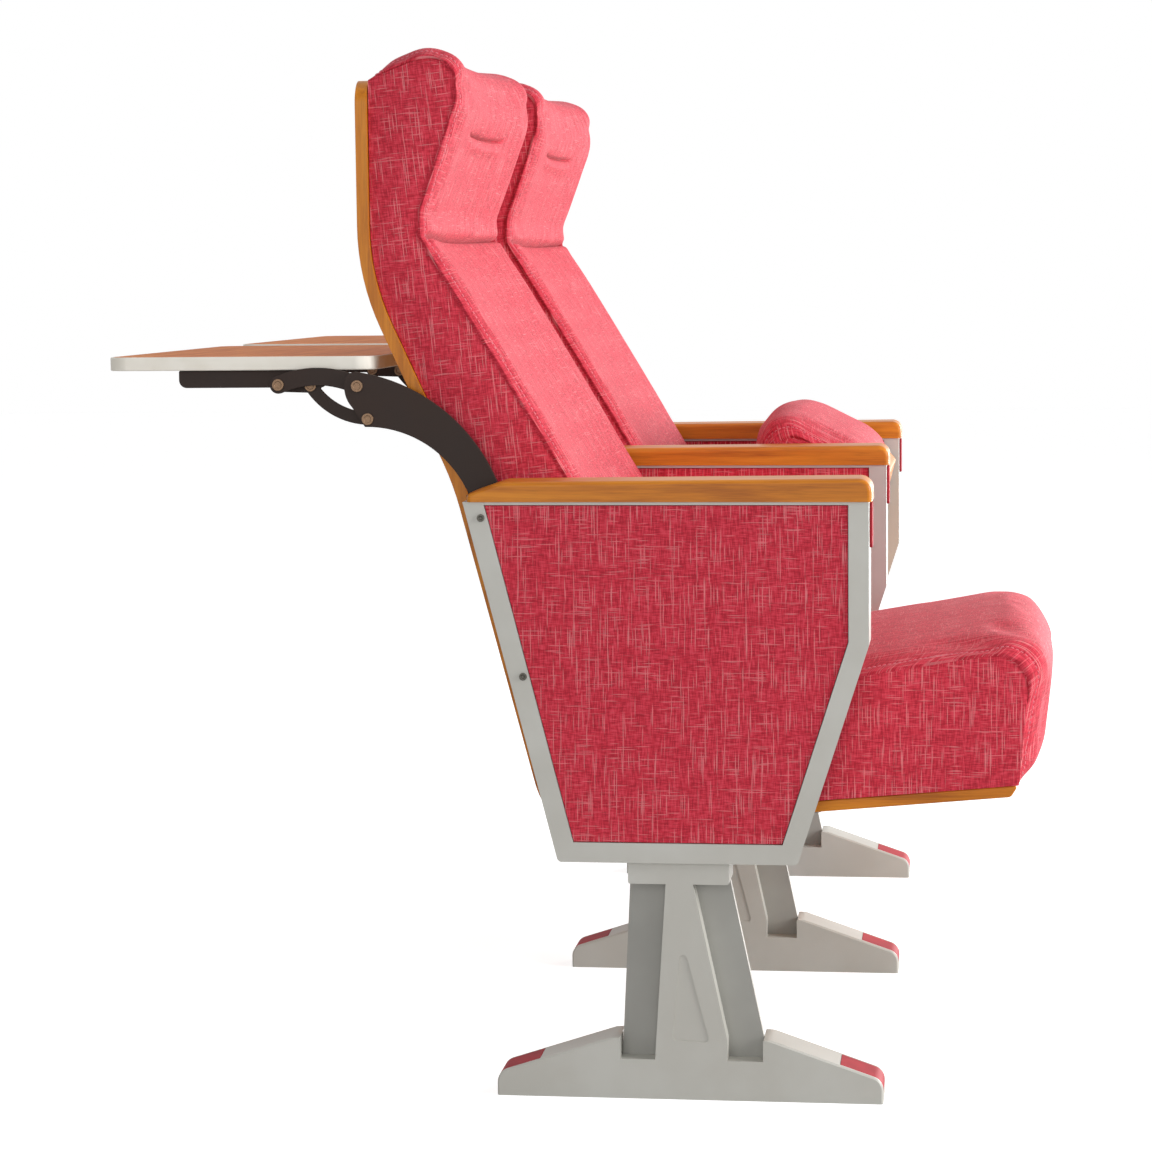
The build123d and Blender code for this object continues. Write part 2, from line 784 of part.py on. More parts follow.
def back_cushion(y):
    body = cushion(y, back_half_width, back_roll, (back_front_draw, back_top_draw), (-back_hollow, -back_top_hollow),
                   back_corners)
    body &= slab(before_shell(), y - shell_half_width, y + shell_half_width)
    slant = (back_ear[0] - back_knee[0]) / (back_ear[1] - back_neck_z)
    tuck_x = back_knee[0] + slant * (tuck_height - back_neck_z) - back_hollow + tuck_radius * 0.3
    body -= rod((tuck_x, tuck_height), tuck_radius, y - tuck_half_length, y + tuck_half_length)
    for leg in bracket_legs(y, recess_gap):
        body -= leg
    return body


def bracket_strip(low, high, near, far):
    """An XZ strip along the shell's front, between two heights and two depths from the rear line."""
    def point(z, depth):
        (x_a, z_a, _), (x_b, z_b, _) = shell_line(depth)[-2:]
        if z > z_a:
            (x_a, z_a, _), (x_b, z_b, _) = shell_line(depth)[-3:-1]
        return x_a + (x_b - x_a) * (z - z_a) / (z_b - z_a), z
    return outline([(*point(low, near), 0), (*point(low, far), 0), (*point(high, far), 0), (*point(high, near), 0)])


def bracket_places():
    """Lower and upper height, outer face and bolt hole of each bracket."""
    return [
        (*bracket_upper, inner_face - arm_sheet, bolt_points[0]),
        (*bracket_lower, inner_face, bracket_bolt),
    ]


def bracket_legs(y, grow):
    """The bracket flanges that are screwed to the shell, enlarged by grow."""
    near, far = shell_thickness - grow, shell_thickness + bracket_sheet + grow
    legs = []
    for low, high, outer, _ in bracket_places():
        face = bracket_strip(low - grow, high + grow, near, far)
        inner = outer - bracket_sheet - bracket_reach - grow
        legs += [slab(face, *side_range(y, side, outer, inner)) for side in (-1, 1)]
    return legs


def back_brackets(y):
    def one(side):
        parts = []
        for low, high, outer, hole in bracket_places():
            inner = outer - bracket_sheet
            leg = bracket_strip(low, high, shell_thickness, shell_thickness + bracket_sheet)
            web = bracket_strip(low, high, shell_thickness, shell_thickness + bracket_depth)
            body = slab(leg, *side_range(y, side, outer, inner - bracket_reach))
            body += slab(web, *side_range(y, side, outer, inner))
            parts.append(body - rod(hole, bolt_radius + bolt_hole_gap, *side_range(y, side, outer + 1, inner - 1)))
        return group(parts)
    return both_sides(one)


def bracket_bolts(y):
    """Short bolts that hold the lower brackets to the rear posts."""
    def one(side):
        face = inner_face - bracket_sheet
        shank = rod(bracket_bolt, bolt_radius, *side_range(y, side, face, inner_face + frame_sheet + 4))
        return shank + rod(bracket_bolt, bolt_head_radius, *side_range(y, side, face, face - bolt_head))
    return both_sides(one)


# Tablet arms and linkage, about a seat centre at y

def layer(name):
    """Outer and inner distance from the seat's middle of a layer of the linkage."""
    outer = inner_face
    for sheet, gap, this in linkage:
        if this == name:
            return outer, outer - sheet
        outer -= sheet + gap


def arm_outline():
    """The bent arm: an arched top edge and a hollowed lower edge, then a tail down the rear post."""
    upper_bolt, lower_bolt = bolt_points
    way = (Vector(*lower_bolt) - Vector(*upper_bolt)).normalized()
    side = Vector(-way.Y, way.X) * arm_tail
    tail_end = Vector(*lower_bolt) + way * arm_tail_below
    start = Vector(*upper_bolt) - way * 22
    front_top, front_low = start + side, tail_end + side
    rear_top, rear_low = start - side, tail_end - side
    head_top = Vector(arm_pivot[0] - 2, arm_pivot[1] + 14.5)
    head_rear = Vector(arm_pivot[0] - 13, arm_pivot[1] + 3)
    chin = Vector(stay_pivot[0] - 16, stay_pivot[1] + 12)
    toe = Vector(stay_pivot[0] - 3, stay_pivot[1] - 8)
    edges = [
        ThreePointArc(head_top, Vector(*arm_crown), front_top),
        Line(front_top, front_low),
        ThreePointArc(front_low, tail_end + way * arm_tail, rear_low),
        Line(rear_low, rear_top),
        ThreePointArc(rear_top, Vector(*arm_hollow), toe),
        Line(toe, chin),
        ThreePointArc(chin, Vector(arm_pivot[0] - 11, arm_pivot[1] - 13), head_rear),
        ThreePointArc(head_rear, Vector(arm_pivot[0] - 10.5, arm_pivot[1] + 10.5), head_top),
    ]
    return make_face(edges)


def tablet_arms(y):
    def one(side):
        span = side_range(y, side, *layer("arm"))
        arm = slab(arm_outline(), *span)
        for point in bolt_points:
            arm -= rod(point, bolt_radius + bolt_hole_gap, *span)
        for point in (arm_pivot, stay_pivot):
            arm -= rod(point, rivet_radius + pivot_running_gap, *span)
        return arm
    return both_sides(one)


def bowed(start, end, rise, width):
    """A curved link outline of even width from start to end, bowed to the left of travel by rise."""
    a, b = Vector(*start), Vector(*end)
    way = (b - a).normalized()
    middle = (a + b) * 0.5 + Vector(-way.Y, way.X) * rise
    return SlotArc(ThreePointArc(a, middle, b), width)


def upper_links(y):
    def one(side):
        span = side_range(y, side, *layer("upper link"))
        link = slab(bowed(arm_pivot, rail_pivot, -upper_link_rise, upper_link_width), *span)
        for point in (arm_pivot, rail_pivot):
            link -= rod(point, rivet_radius + pivot_running_gap, *span)
        return link
    return both_sides(one)


def lower_links(y):
    """The lower link's eye is a slot across the link: the linkage is left open at this pivot."""
    way = degrees(atan2(rail_stay_pivot[1] - stay_pivot[1], rail_stay_pivot[0] - stay_pivot[0]))
    middle = Vector(*rail_stay_pivot) + Vector(-stay_slot_along / 2, -stay_slot_across / 2).rotate(Axis.Z, way)
    width = 2 * (stay_rivet_radius + stay_rivet_gap) + stay_slot_along
    slot = Pos(middle.X, middle.Y) * Rot(0, 0, way + 90) * SlotCenterToCenter(stay_slot_across, width)
    eye = disc((middle.X, middle.Y), (stay_slot_across + width) / 2 + stay_eye_wall)

    def one(side):
        span = side_range(y, side, *layer("lower link"))
        face = bowed(stay_pivot, rail_stay_pivot, lower_link_sag, lower_link_width) + eye - slot
        return slab(face, *span) - rod(stay_pivot, rivet_radius + pivot_running_gap, *span)
    return both_sides(one)


def tablet_rails(y):
    bottom = tablet_top - tablet_thickness - rail_depth
    top = tablet_top - tablet_thickness

    def one(side):
        outer, inner = layer("rail")
        web = outline([
            (rail_rear_x, bottom, rail_depth * 0.45),
            (rail_front_x, bottom, 4),
            (rail_front_x, top, 4),
            (rail_rear_x, top, 2),
        ])
        web += bowed(rail_pivot, rail_stay_pivot, 0.01, 2 * rivet_head_radius + 3)
        body = slab(web, *side_range(y, side, outer, inner))
        flange = outline([
            (rail_rear_x + rail_depth, top - rail_flange_sheet, 0),
            (rail_flange_front, top - rail_flange_sheet, 0),
            (rail_flange_front, top, 0),
            (rail_rear_x + rail_depth, top, 0),
        ])
        body += slab(flange, *side_range(y, side, outer, outer - rail_flange))
        body -= rod(rail_pivot, rivet_radius + pivot_running_gap, *side_range(y, side, outer, inner))
        return body - rod(rail_stay_pivot, stay_rivet_radius + 0.02, *side_range(y, side, outer, inner))
    return both_sides(one)


def rivet(point, radius, head_at, tail_at, y, side, head=rivet_head):
    """A rivet with a head outside head_at and a flat tail washer inside tail_at."""
    shank = rod(point, radius, *side_range(y, side, head_at, tail_at - rivet_tail))
    shank += rod(point, rivet_head_radius, *side_range(y, side, head_at, head_at + head))
    return shank + rod(point, rivet_head_radius, *side_range(y, side, tail_at - 0.1, tail_at - rivet_tail))


def arm_rivets(y):
    """Pivots fixed in the arms, one for each upper link and one with a spacer for each lower link."""
    def one(side):
        arm_outer, arm_inner = layer("arm")
        low_outer, low_inner = layer("lower link")
        high = rivet(arm_pivot, rivet_radius, arm_outer, layer("upper link")[1], y, side)
        low = rivet(stay_pivot, rivet_radius, arm_outer, low_inner, y, side)
        spacer = rod(stay_pivot, rivet_head_radius, *side_range(y, side, arm_inner, low_outer + 0.1))
        return group([high, low + spacer])
    return both_sides(one)


def rail_rivets(y):
    """Pivots fixed in the rails: one for each upper link and one that rides in each lower link's slot."""
    def one(side):
        rear = rivet(rail_pivot, rivet_radius, layer("upper link")[0] + 0.1, layer("rail")[1] + 0.1, y, side)
        rear += rod(rail_pivot, rivet_head_radius,
                    *side_range(y, side, layer("upper link")[1] - 0.1, layer("rail")[0]))
        front = rivet(rail_stay_pivot, stay_rivet_radius, layer("lower link")[0] + 0.1, layer("rail")[1] + 0.1,
                      y, side, stay_head)
        return group([rear, front])
    return both_sides(one)


def tablet_half_width():
    return layer("upper link")[1] - tablet_side_gap


def tablet_plate(radius, depth):
    """A rounded board, depth in from the full tablet."""
    length = tablet_front_x - tablet_rear_x - 2 * depth
    middle = (tablet_front_x + tablet_rear_x) / 2
    face = Pos(middle, 0) * RectangleRounded(length, 2 * (tablet_half_width() - depth), radius)
    return extrude(face, amount=tablet_thickness)


def tablet_board(y):
    inset = edge_band + 0.1
    plate = tablet_plate(tablet_corner_radius - inset, inset)
    return Pos(0, y, tablet_top - tablet_thickness) * plate


def tablet_edge(y):
    rim = tablet_plate(tablet_corner_radius, 0) - tablet_plate(tablet_corner_radius - edge_band, edge_band)
    return Pos(0, y, tablet_top - tablet_thickness) * rim


# Nodes

def save(name, part):
    export_step(part, os.path.join("parts", name + ".step"))


os.makedirs("parts", exist_ok=True)

for name, y in standards.items():
    save("foot_" + name, foot(y))
    save("stem_" + name, stem(y))
    save("side_frame_" + name, side_frame(name, y))
    save("side_panels_" + name, side_panels(name, y))
    save("armrest_" + name, armrest(name, y))

save("foot_caps", group([foot_caps(y) for y in standards.values()]))
save("front_strips", group([front_strip(y) for y in standards.values()]))
save("frame_bolts", frame_bolts())

fixed = {
    "back_shell": back_shell,
    "back_cushion": back_cushion,
    "back_brackets": back_brackets,
    "bracket_bolts": bracket_bolts,
    "pivot_bushes": pivot_bushes,
    "stop_sleeves": stop_sleeves,
    "tablet_arms": tablet_arms,
    "arm_rivets": arm_rivets,
    "upper_links": upper_links,
    "lower_links": lower_links,
    "tablet_rails": tablet_rails,
    "rail_rivets": rail_rivets,
    "tablet_board": tablet_board,
    "tablet_edge": tablet_edge,
}
swinging = {
    "seat_cushion": seat_cushion,
    "seat_board": seat_board,
    "seat_frame": seat_frame,
    "pivot_pins": pivot_pins,
}
rest_tip = {"right": 0.0, "left": tip_angle}

for seat, y in seats.items():
    for name, make in fixed.items():
        save(name + "_" + seat, make(y))
    save("return_springs_" + seat, return_springs(y, rest_tip[seat]))
    for name, make in swinging.items():
        save(name + "_" + seat, tipped(make(y), rest_tip[seat]))
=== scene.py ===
"""Dresses the row of tip up auditorium seats: upholstery, finishes, small hardware and the studio."""

import json
import logging
import math
from dataclasses import dataclass, field
from enum import Enum
from typing import Callable, Iterable

import bmesh
import bpy
from mathutils import Matrix, Vector

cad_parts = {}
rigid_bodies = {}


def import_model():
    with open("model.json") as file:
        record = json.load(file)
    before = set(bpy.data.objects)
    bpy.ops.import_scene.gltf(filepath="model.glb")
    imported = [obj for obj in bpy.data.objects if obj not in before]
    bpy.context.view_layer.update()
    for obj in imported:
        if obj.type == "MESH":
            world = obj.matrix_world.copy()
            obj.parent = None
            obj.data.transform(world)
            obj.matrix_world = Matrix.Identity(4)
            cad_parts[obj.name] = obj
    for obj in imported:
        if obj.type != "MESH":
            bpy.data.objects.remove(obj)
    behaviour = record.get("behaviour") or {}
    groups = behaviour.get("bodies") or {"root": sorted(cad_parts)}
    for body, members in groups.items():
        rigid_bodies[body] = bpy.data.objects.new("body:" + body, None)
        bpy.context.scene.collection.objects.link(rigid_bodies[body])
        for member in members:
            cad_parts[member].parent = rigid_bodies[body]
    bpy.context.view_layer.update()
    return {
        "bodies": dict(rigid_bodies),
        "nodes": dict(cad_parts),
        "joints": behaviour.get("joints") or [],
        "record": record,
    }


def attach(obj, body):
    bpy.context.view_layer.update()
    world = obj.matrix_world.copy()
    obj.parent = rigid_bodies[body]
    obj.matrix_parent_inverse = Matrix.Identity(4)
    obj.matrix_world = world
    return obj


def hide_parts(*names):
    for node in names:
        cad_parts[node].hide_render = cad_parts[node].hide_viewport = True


LOG = logging.getLogger("auditorium_seat")
MM = 0.001
# Below these a difference, and a length or a turn, count as none
TINY = 1e-9
NEAR = 1e-6

Piece = bpy.types.Object
Tree = bpy.types.NodeTree
Node = bpy.types.Node
Socket = bpy.types.NodeSocket
Work = bmesh.types.BMesh
Line = list[bmesh.types.BMVert]
Point = tuple[float, float]
Corner = tuple[float, float, float]
Bend = tuple[Point, Point, Point, float]
Shaping = Callable[[Piece], None]

# From one standard to the next, in metres
PITCH = 0.58
# From a lowered seat to a tipped one, in degrees, and the seat's pivot in millimetres
TIP_ANGLE = 70.0
PIVOT: Point = (52.0, 336.0)
# The seat board's rise for each step forward, and a point of its upper face in millimetres
BOARD_SLOPE = 0.0888
BOARD_FRONT: Point = (328.0, 312.5)
# A face that looks this much along an axis counts as flat across it
FLAT = 0.9


class Seat(Enum):
    """The two places of the row, by the sitter's hand."""

    RIGHT = "right"
    LEFT = "left"

    @property
    def centre(self) -> float:
        """The seat's middle on Y, in metres."""
        return -PITCH / 2 if self is Seat.RIGHT else PITCH / 2

    @property
    def tip(self) -> float:
        """How far the seat is tipped up at rest, in degrees."""
        return 0.0 if self is Seat.RIGHT else TIP_ANGLE


class Standard(Enum):
    """The three standards of the row."""

    RIGHT_END = "right_end"
    MIDDLE = "middle"
    LEFT_END = "left_end"

    @property
    def centre(self) -> float:
        """The standard's middle on Y, in metres."""
        return {Standard.RIGHT_END: -PITCH, Standard.MIDDLE: 0.0, Standard.LEFT_END: PITCH}[self]


# Small tools


def linear(code: str, alpha: float = 1.0) -> tuple[float, float, float, float]:
    """An sRGB hex colour as linear values.

    Args:
        code: Six hex digits after a hash.
        alpha: The colour's opacity.

    Returns:
        Red, green, blue and alpha.
    """
    parts = [int(code[i : i + 2], 16) / 255 for i in (1, 3, 5)]
    red, green, blue = (p / 12.92 if p <= 0.04045 else ((p + 0.055) / 1.055) ** 2.4 for p in parts)
    return red, green, blue, alpha


def add(tree: Tree, kind: str, inputs: dict[str | int, object] | None = None, **settings: object) -> Node:
    """Adds a shader node with its settings, values and links.

    Args:
        tree: The material's node tree.
        kind: The node's type name.
        inputs: Values or output sockets, by input name or number.
        settings: Properties of the node.

    Returns:
        The new node.
    """
    node = tree.nodes.new(kind)
    for key, value in settings.items():
        setattr(node, key, value)
    for key, value in (inputs or {}).items():
        if isinstance(value, Socket):
            tree.links.new(value, node.inputs[key])
        else:
            node.inputs[key].default_value = value
    return node


def ramp(tree: Tree, factor: Socket, stops: list[tuple[float, object]]) -> Node:
    """A colour ramp with the given stops.

    Args:
        tree: The material's node tree.
        factor: The socket that drives the ramp.
        stops: Pairs of place and hex colour or grey value.

    Returns:
        The ramp node.
    """
    node = add(tree, "ShaderNodeValToRGB", {"Fac": factor})
    while len(node.color_ramp.elements) < len(stops):
        node.color_ramp.elements.new(0.5)
    for element, (place, colour) in zip(node.color_ramp.elements, stops):
        element.position = place
        element.color = linear(colour) if isinstance(colour, str) else (colour, colour, colour, 1.0)
    return node


def deselect() -> None:
    """Clears the selection."""
    bpy.ops.object.select_all(action="DESELECT")


def activate(piece: Piece) -> None:
    """Makes one piece the only selected and active one.

    Args:
        piece: The piece to work on.
    """
    deselect()
    piece.select_set(True)
    bpy.context.view_layer.objects.active = piece


def new_piece(name: str, mesh: bpy.types.Mesh) -> Piece:
    """Links a mesh to the scene as a piece.

    Args:
        name: The piece's name.
        mesh: Its mesh.

    Returns:
        The piece.
    """
    piece = bpy.data.objects.new(name, mesh)
    bpy.context.scene.collection.objects.link(piece)
    return piece


def apply_all(piece: Piece) -> None:
    """Applies every modifier of a piece.

    Args:
        piece: The piece to finish.
    """
    activate(piece)
    for modifier in list(piece.modifiers):
        bpy.ops.object.modifier_apply(modifier=modifier.name)


def smooth(piece: Piece, angle: float = 35.0) -> None:
    """Shades the piece smooth below an angle in degrees."""
    activate(piece)
    bpy.ops.object.shade_smooth_by_angle(angle=math.radians(angle))


def dress(piece: Piece, finish: "Finish", body: str, replaces: Iterable[str] = ()) -> Piece:
    """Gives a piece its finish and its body.

    Args:
        piece: The piece to dress.
        finish: The finish that covers it.
        body: The body that it rides on.
        replaces: CAD nodes that it stands for.

    Returns:
        The same piece.
    """
    piece.data.materials.clear()
    piece.data.materials.append(finish.material())
    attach(piece, body)
    for node in replaces:
        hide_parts(node)
    LOG.info("%s: %d faces on %s", piece.name, len(piece.data.polygons), body)
    return piece


def mound(place: float, height: float, middle: float, half: float) -> float:
    """The height at a place of a smooth mound, from its full height, its middle and its half width."""
    return height * math.exp(-(((place - middle) / half) ** 2))


# Finishes


@dataclass(frozen=True)
class Finish:
    """A surface finish, made once as a material."""

    name: str

    def material(self) -> bpy.types.Material:
        """The finish's material, made on its first use.

        Returns:
            The material.
        """
        found = bpy.data.materials.get(self.name)
        if found is None:
            found = bpy.data.materials.new(self.name)
            found.use_nodes = True
            tree = found.node_tree
            tree.nodes.clear()
            shader = self.shader(tree)
            add(tree, "ShaderNodeOutputMaterial", {"Surface": shader.outputs[0]})
        return found

    def shader(self, tree: Tree) -> Node:
        """Builds the finish's shader and returns its node."""
        raise NotImplementedError


@dataclass(frozen=True)
class PowderCoat(Finish):
    """Polyester powder on steel or cast aluminium: an even matt satin with a faint orange peel.

    Patches is how many faint patches of colour and gloss a metre holds.
    """

    colour: str = "#C4C3BC"
    shade: str = "#BDBBB3"
    roughness: float = 0.42
    peel_mm: float = 1.6
    peel_depth_mm: float = 0.2
    patches: float = 14.0
    specular: float = 0.5

    def shader(self, tree: Tree) -> Node:
        """Orange peel in the bump and a little unevenness in colour and gloss.

        Args:
            tree: The material's node tree.

        Returns:
            The shader node.
        """
        place = add(tree, "ShaderNodeTexCoord").outputs["Object"]
        fine = 1 / (self.peel_mm * MM)
        peel = add(tree, "ShaderNodeTexNoise", {"Vector": place, "Scale": fine, "Detail": 2.0})
        drift = add(tree, "ShaderNodeTexNoise", {"Vector": place, "Scale": self.patches, "Detail": 3.0})
        tone = ramp(tree, drift.outputs["Fac"], [(0.35, self.shade), (0.65, self.colour)])
        rough = add(tree, "ShaderNodeMapRange", {
            "Value": drift.outputs["Fac"], "From Min": 0.3, "From Max": 0.7,
            "To Min": self.roughness - 0.04, "To Max": self.roughness + 0.05})
        bump = add(tree, "ShaderNodeBump", {
            "Height": peel.outputs["Fac"], "Strength": 0.12, "Distance": self.peel_depth_mm * MM})
        return add(tree, "ShaderNodeBsdfPrincipled", {
            "Base Color": tone.outputs["Color"], "Roughness": rough.outputs[0], "Normal": bump.outputs[0],
            "IOR": 1.5, "Specular IOR Level": self.specular})


@dataclass(frozen=True)
class Heather(Finish):
    """Polyester upholstery in a linen weave: straight crimson threads, rarer pale slubs and a matt fuzz.

    The real thread is about 0.4 mm; it is drawn 0.75 mm wide so that it shows. Waves is how many
    times in a metre the threads wander, by up to about wander_mm. Spread sets neighbouring threads so
    far apart in the noise that they have nothing in common. Seeds are those of the weave's threads, up
    and across, and of the slubs.
    """

    deep: str = "#A8172C"
    body: str = "#C9263B"
    bright: str = "#DA4154"
    slub: str = "#F0A0A2"
    halo: str = "#FFC4C8"
    thread_mm: float = 0.75
    yarn_mm: float = 11.0
    slub_mm: float = 42.0
    fuzz_mm: float = 0.8
    waves: float = 14.0
    wander_mm: float = 2.4
    relief_mm: float = 0.6
    sheen: float = 0.18
    spread: float = 7.31
    seeds: tuple[float, ...] = (3.1, 8.7, 11.3, 19.9)

    def threads(self, tree: Tree, place: Socket, across: str, length: float, seed: float) -> Socket:
        """A value for each thread of one way of the cloth, changing slowly along it.

        Args:
            tree: The material's node tree.
            place: The cloth's coordinates in metres.
            across: The axis that counts the threads, X for those that run up the cloth.
            length: The usual length of one shade along a thread, in millimetres.
            seed: Moves the pattern.

        Returns:
            The value's socket.
        """
        axes = add(tree, "ShaderNodeSeparateXYZ", {0: place}).outputs
        along = axes["Y" if across == "X" else "X"]
        per_metre = 1 / (self.thread_mm * MM)
        count = add(tree, "ShaderNodeMath", {0: axes[across], 1: per_metre}, operation="MULTIPLY")
        number = add(tree, "ShaderNodeMath", {0: count.outputs[0]}, operation="FLOOR")
        apart = add(tree, "ShaderNodeMath", {0: number.outputs[0], 1: self.spread, 2: seed},
                    operation="MULTIPLY_ADD")
        run = add(tree, "ShaderNodeMath", {0: along, 1: 1 / (length * MM), 2: seed},
                  operation="MULTIPLY_ADD")
        spot = add(tree, "ShaderNodeCombineXYZ", {0: apart.outputs[0], 1: run.outputs[0]})
        shade = add(tree, "ShaderNodeTexNoise", {"Vector": spot.outputs[0], "Scale": 1.0, "Detail": 0.0},
                    noise_dimensions="2D")
        return shade.outputs["Fac"]

    def shader(self, tree: Tree) -> Node:
        """Threads both ways for the weave, long pale ones for the slubs and a fine fuzz over both.

        Args:
            tree: The material's node tree.

        Returns:
            The shader node.
        """
        flat = add(tree, "ShaderNodeUVMap", uv_map="Cloth").outputs[0]
        wander = add(tree, "ShaderNodeTexNoise", {"Vector": flat, "Scale": self.waves, "Detail": 1.0})
        drift = add(tree, "ShaderNodeVectorMath", {0: wander.outputs["Color"], "Scale": self.wander_mm * MM},
                    operation="SCALE")
        moved = add(tree, "ShaderNodeVectorMath", {0: flat, 1: drift.outputs[0]}, operation="ADD")
        place = moved.outputs[0]
        warp = self.threads(tree, place, "X", self.yarn_mm, self.seeds[0])
        weft = self.threads(tree, place, "Y", self.yarn_mm * 0.8, self.seeds[1])
        fine = 1 / (self.fuzz_mm * MM)
        fuzz = add(tree, "ShaderNodeTexNoise", {"Vector": flat, "Scale": fine, "Detail": 1.0})
        weave = add(tree, "ShaderNodeMath", {0: warp, 1: weft}, operation="ADD")
        mixed = add(tree, "ShaderNodeMath", {0: fuzz.outputs["Fac"], 1: 0.5, 2: weave.outputs[0]},
                    operation="MULTIPLY_ADD")
        level = add(tree, "ShaderNodeMath", {0: mixed.outputs[0], 1: 0.4}, operation="MULTIPLY")
        tone = ramp(tree, level.outputs[0], [(0.36, self.deep), (0.5, self.body), (0.66, self.bright)])
        long_up = self.threads(tree, place, "X", self.slub_mm, self.seeds[2])
        long_over = self.threads(tree, place, "Y", self.slub_mm * 0.7, self.seeds[3])
        up = ramp(tree, long_up, [(0.68, 0.0), (0.80, 0.48)])
        over = ramp(tree, long_over, [(0.72, 0.0), (0.84, 0.4)])
        pale = add(tree, "ShaderNodeMath", {0: up.outputs["Color"], 1: over.outputs["Color"]},
                   operation="MAXIMUM")
        # A colour mix has its factor on socket 0 and its two colours on 6 and 7
        colour = add(tree, "ShaderNodeMix", {0: pale.outputs[0], 6: tone.outputs["Color"],
                                             7: linear(self.slub)}, data_type="RGBA")
        height = add(tree, "ShaderNodeMath", {0: mixed.outputs[0], 1: pale.outputs[0]}, operation="ADD")
        bump = add(tree, "ShaderNodeBump", {
            "Height": height.outputs[0], "Strength": 0.5, "Distance": self.relief_mm * MM})
        return add(tree, "ShaderNodeBsdfPrincipled", {
            "Base Color": colour.outputs[2], "Roughness": 0.75, "Normal": bump.outputs[0],
            "Sheen Weight": self.sheen, "Sheen Roughness": 0.5, "Sheen Tint": linear(self.halo),
            "IOR": 1.45, "Specular IOR Level": 0.4})


@dataclass(frozen=True)
class Veneer(Finish):
    """Clear lacquered wood: pores and growth figure that run along the piece.

    Along is the axis of the grain: 0, 1 or 2 for X, Y or Z. Stretch is how many times longer than wide
    the figure is, and waves is how many times in a metre the grain wanders.
    """

    pale: str = "#DA8A1E"
    mid: str = "#C87612"
    dark: str = "#A65A08"
    along: int = 0
    grain_mm: float = 3.2
    stretch: float = 22.0
    waves: float = 5.0
    pore_depth_mm: float = 0.2
    roughness: float = 0.4
    coat: float = 0.06
    specular: float = 0.28

    def shader(self, tree: Tree) -> Node:
        """Stretched noise for the figure and finer noise for the pores.

        Args:
            tree: The material's node tree.

        Returns:
            The shader node.
        """
        place = add(tree, "ShaderNodeTexCoord").outputs["Object"]
        scale = [1 / (self.grain_mm * MM)] * 3
        scale[self.along] /= self.stretch
        run = add(tree, "ShaderNodeMapping", {"Vector": place, "Scale": scale})
        warp = add(tree, "ShaderNodeTexNoise", {"Vector": place, "Scale": self.waves, "Detail": 2.0})
        shift = add(tree, "ShaderNodeVectorMath", {0: warp.outputs["Color"], "Scale": 2.2},
                    operation="SCALE")
        moved = add(tree, "ShaderNodeVectorMath", {0: run.outputs[0], 1: shift.outputs[0]}, operation="ADD")
        figure = add(tree, "ShaderNodeTexNoise", {
            "Vector": moved.outputs[0], "Scale": 0.35, "Detail": 5.0, "Roughness": 0.6})
        pores = add(tree, "ShaderNodeTexNoise", {"Vector": run.outputs[0], "Scale": 3.0, "Detail": 2.0})
        tone = ramp(tree, figure.outputs["Fac"], [(0.3, self.dark), (0.48, self.mid), (0.68, self.pale)])
        fleck = ramp(tree, pores.outputs["Fac"], [(0.3, 0.86), (0.5, 1.0)])
        colour = add(tree, "ShaderNodeVectorMath", {0: tone.outputs["Color"], 1: fleck.outputs["Color"]},
                     operation="MULTIPLY")
        bump = add(tree, "ShaderNodeBump", {
            "Height": pores.outputs["Fac"], "Strength": 0.1, "Distance": self.pore_depth_mm * MM})
        return add(tree, "ShaderNodeBsdfPrincipled", {
            "Base Color": colour.outputs[0], "Roughness": self.roughness, "Normal": bump.outputs[0],
            "Coat Weight": self.coat, "Coat Roughness": 0.2, "IOR": 1.5,
            "Specular IOR Level": self.specular})


@dataclass(frozen=True)
class Moulded(Finish):
    """Moulded plastic or rubber: a fine spark-eroded grain that softens the highlight.

    Patches is how many faint patches of colour a metre holds.
    """

    colour: str = "#B8323E"
    shade: str = "#A02A36"
    roughness: float = 0.5
    grain_mm: float = 0.9
    grain_depth_mm: float = 0.2
    patches: float = 30.0
    bump: float = 0.15
    specular: float = 0.5

    def shader(self, tree: Tree) -> Node:
        """Even colour with a moulded grain.

        Args:
            tree: The material's node tree.

        Returns:
            The shader node.
        """
        place = add(tree, "ShaderNodeTexCoord").outputs["Object"]
        fine = 1 / (self.grain_mm * MM)
        grain = add(tree, "ShaderNodeTexNoise", {"Vector": place, "Scale": fine, "Detail": 3.0})
        drift = add(tree, "ShaderNodeTexNoise", {"Vector": place, "Scale": self.patches, "Detail": 2.0})
        tone = ramp(tree, drift.outputs["Fac"], [(0.35, self.shade), (0.6, self.colour)])
        bump = add(tree, "ShaderNodeBump", {
            "Height": grain.outputs["Fac"], "Strength": self.bump, "Distance": self.grain_depth_mm * MM})
        return add(tree, "ShaderNodeBsdfPrincipled", {
            "Base Color": tone.outputs["Color"], "Roughness": self.roughness, "Normal": bump.outputs[0],
            "IOR": 1.49, "Specular IOR Level": self.specular})


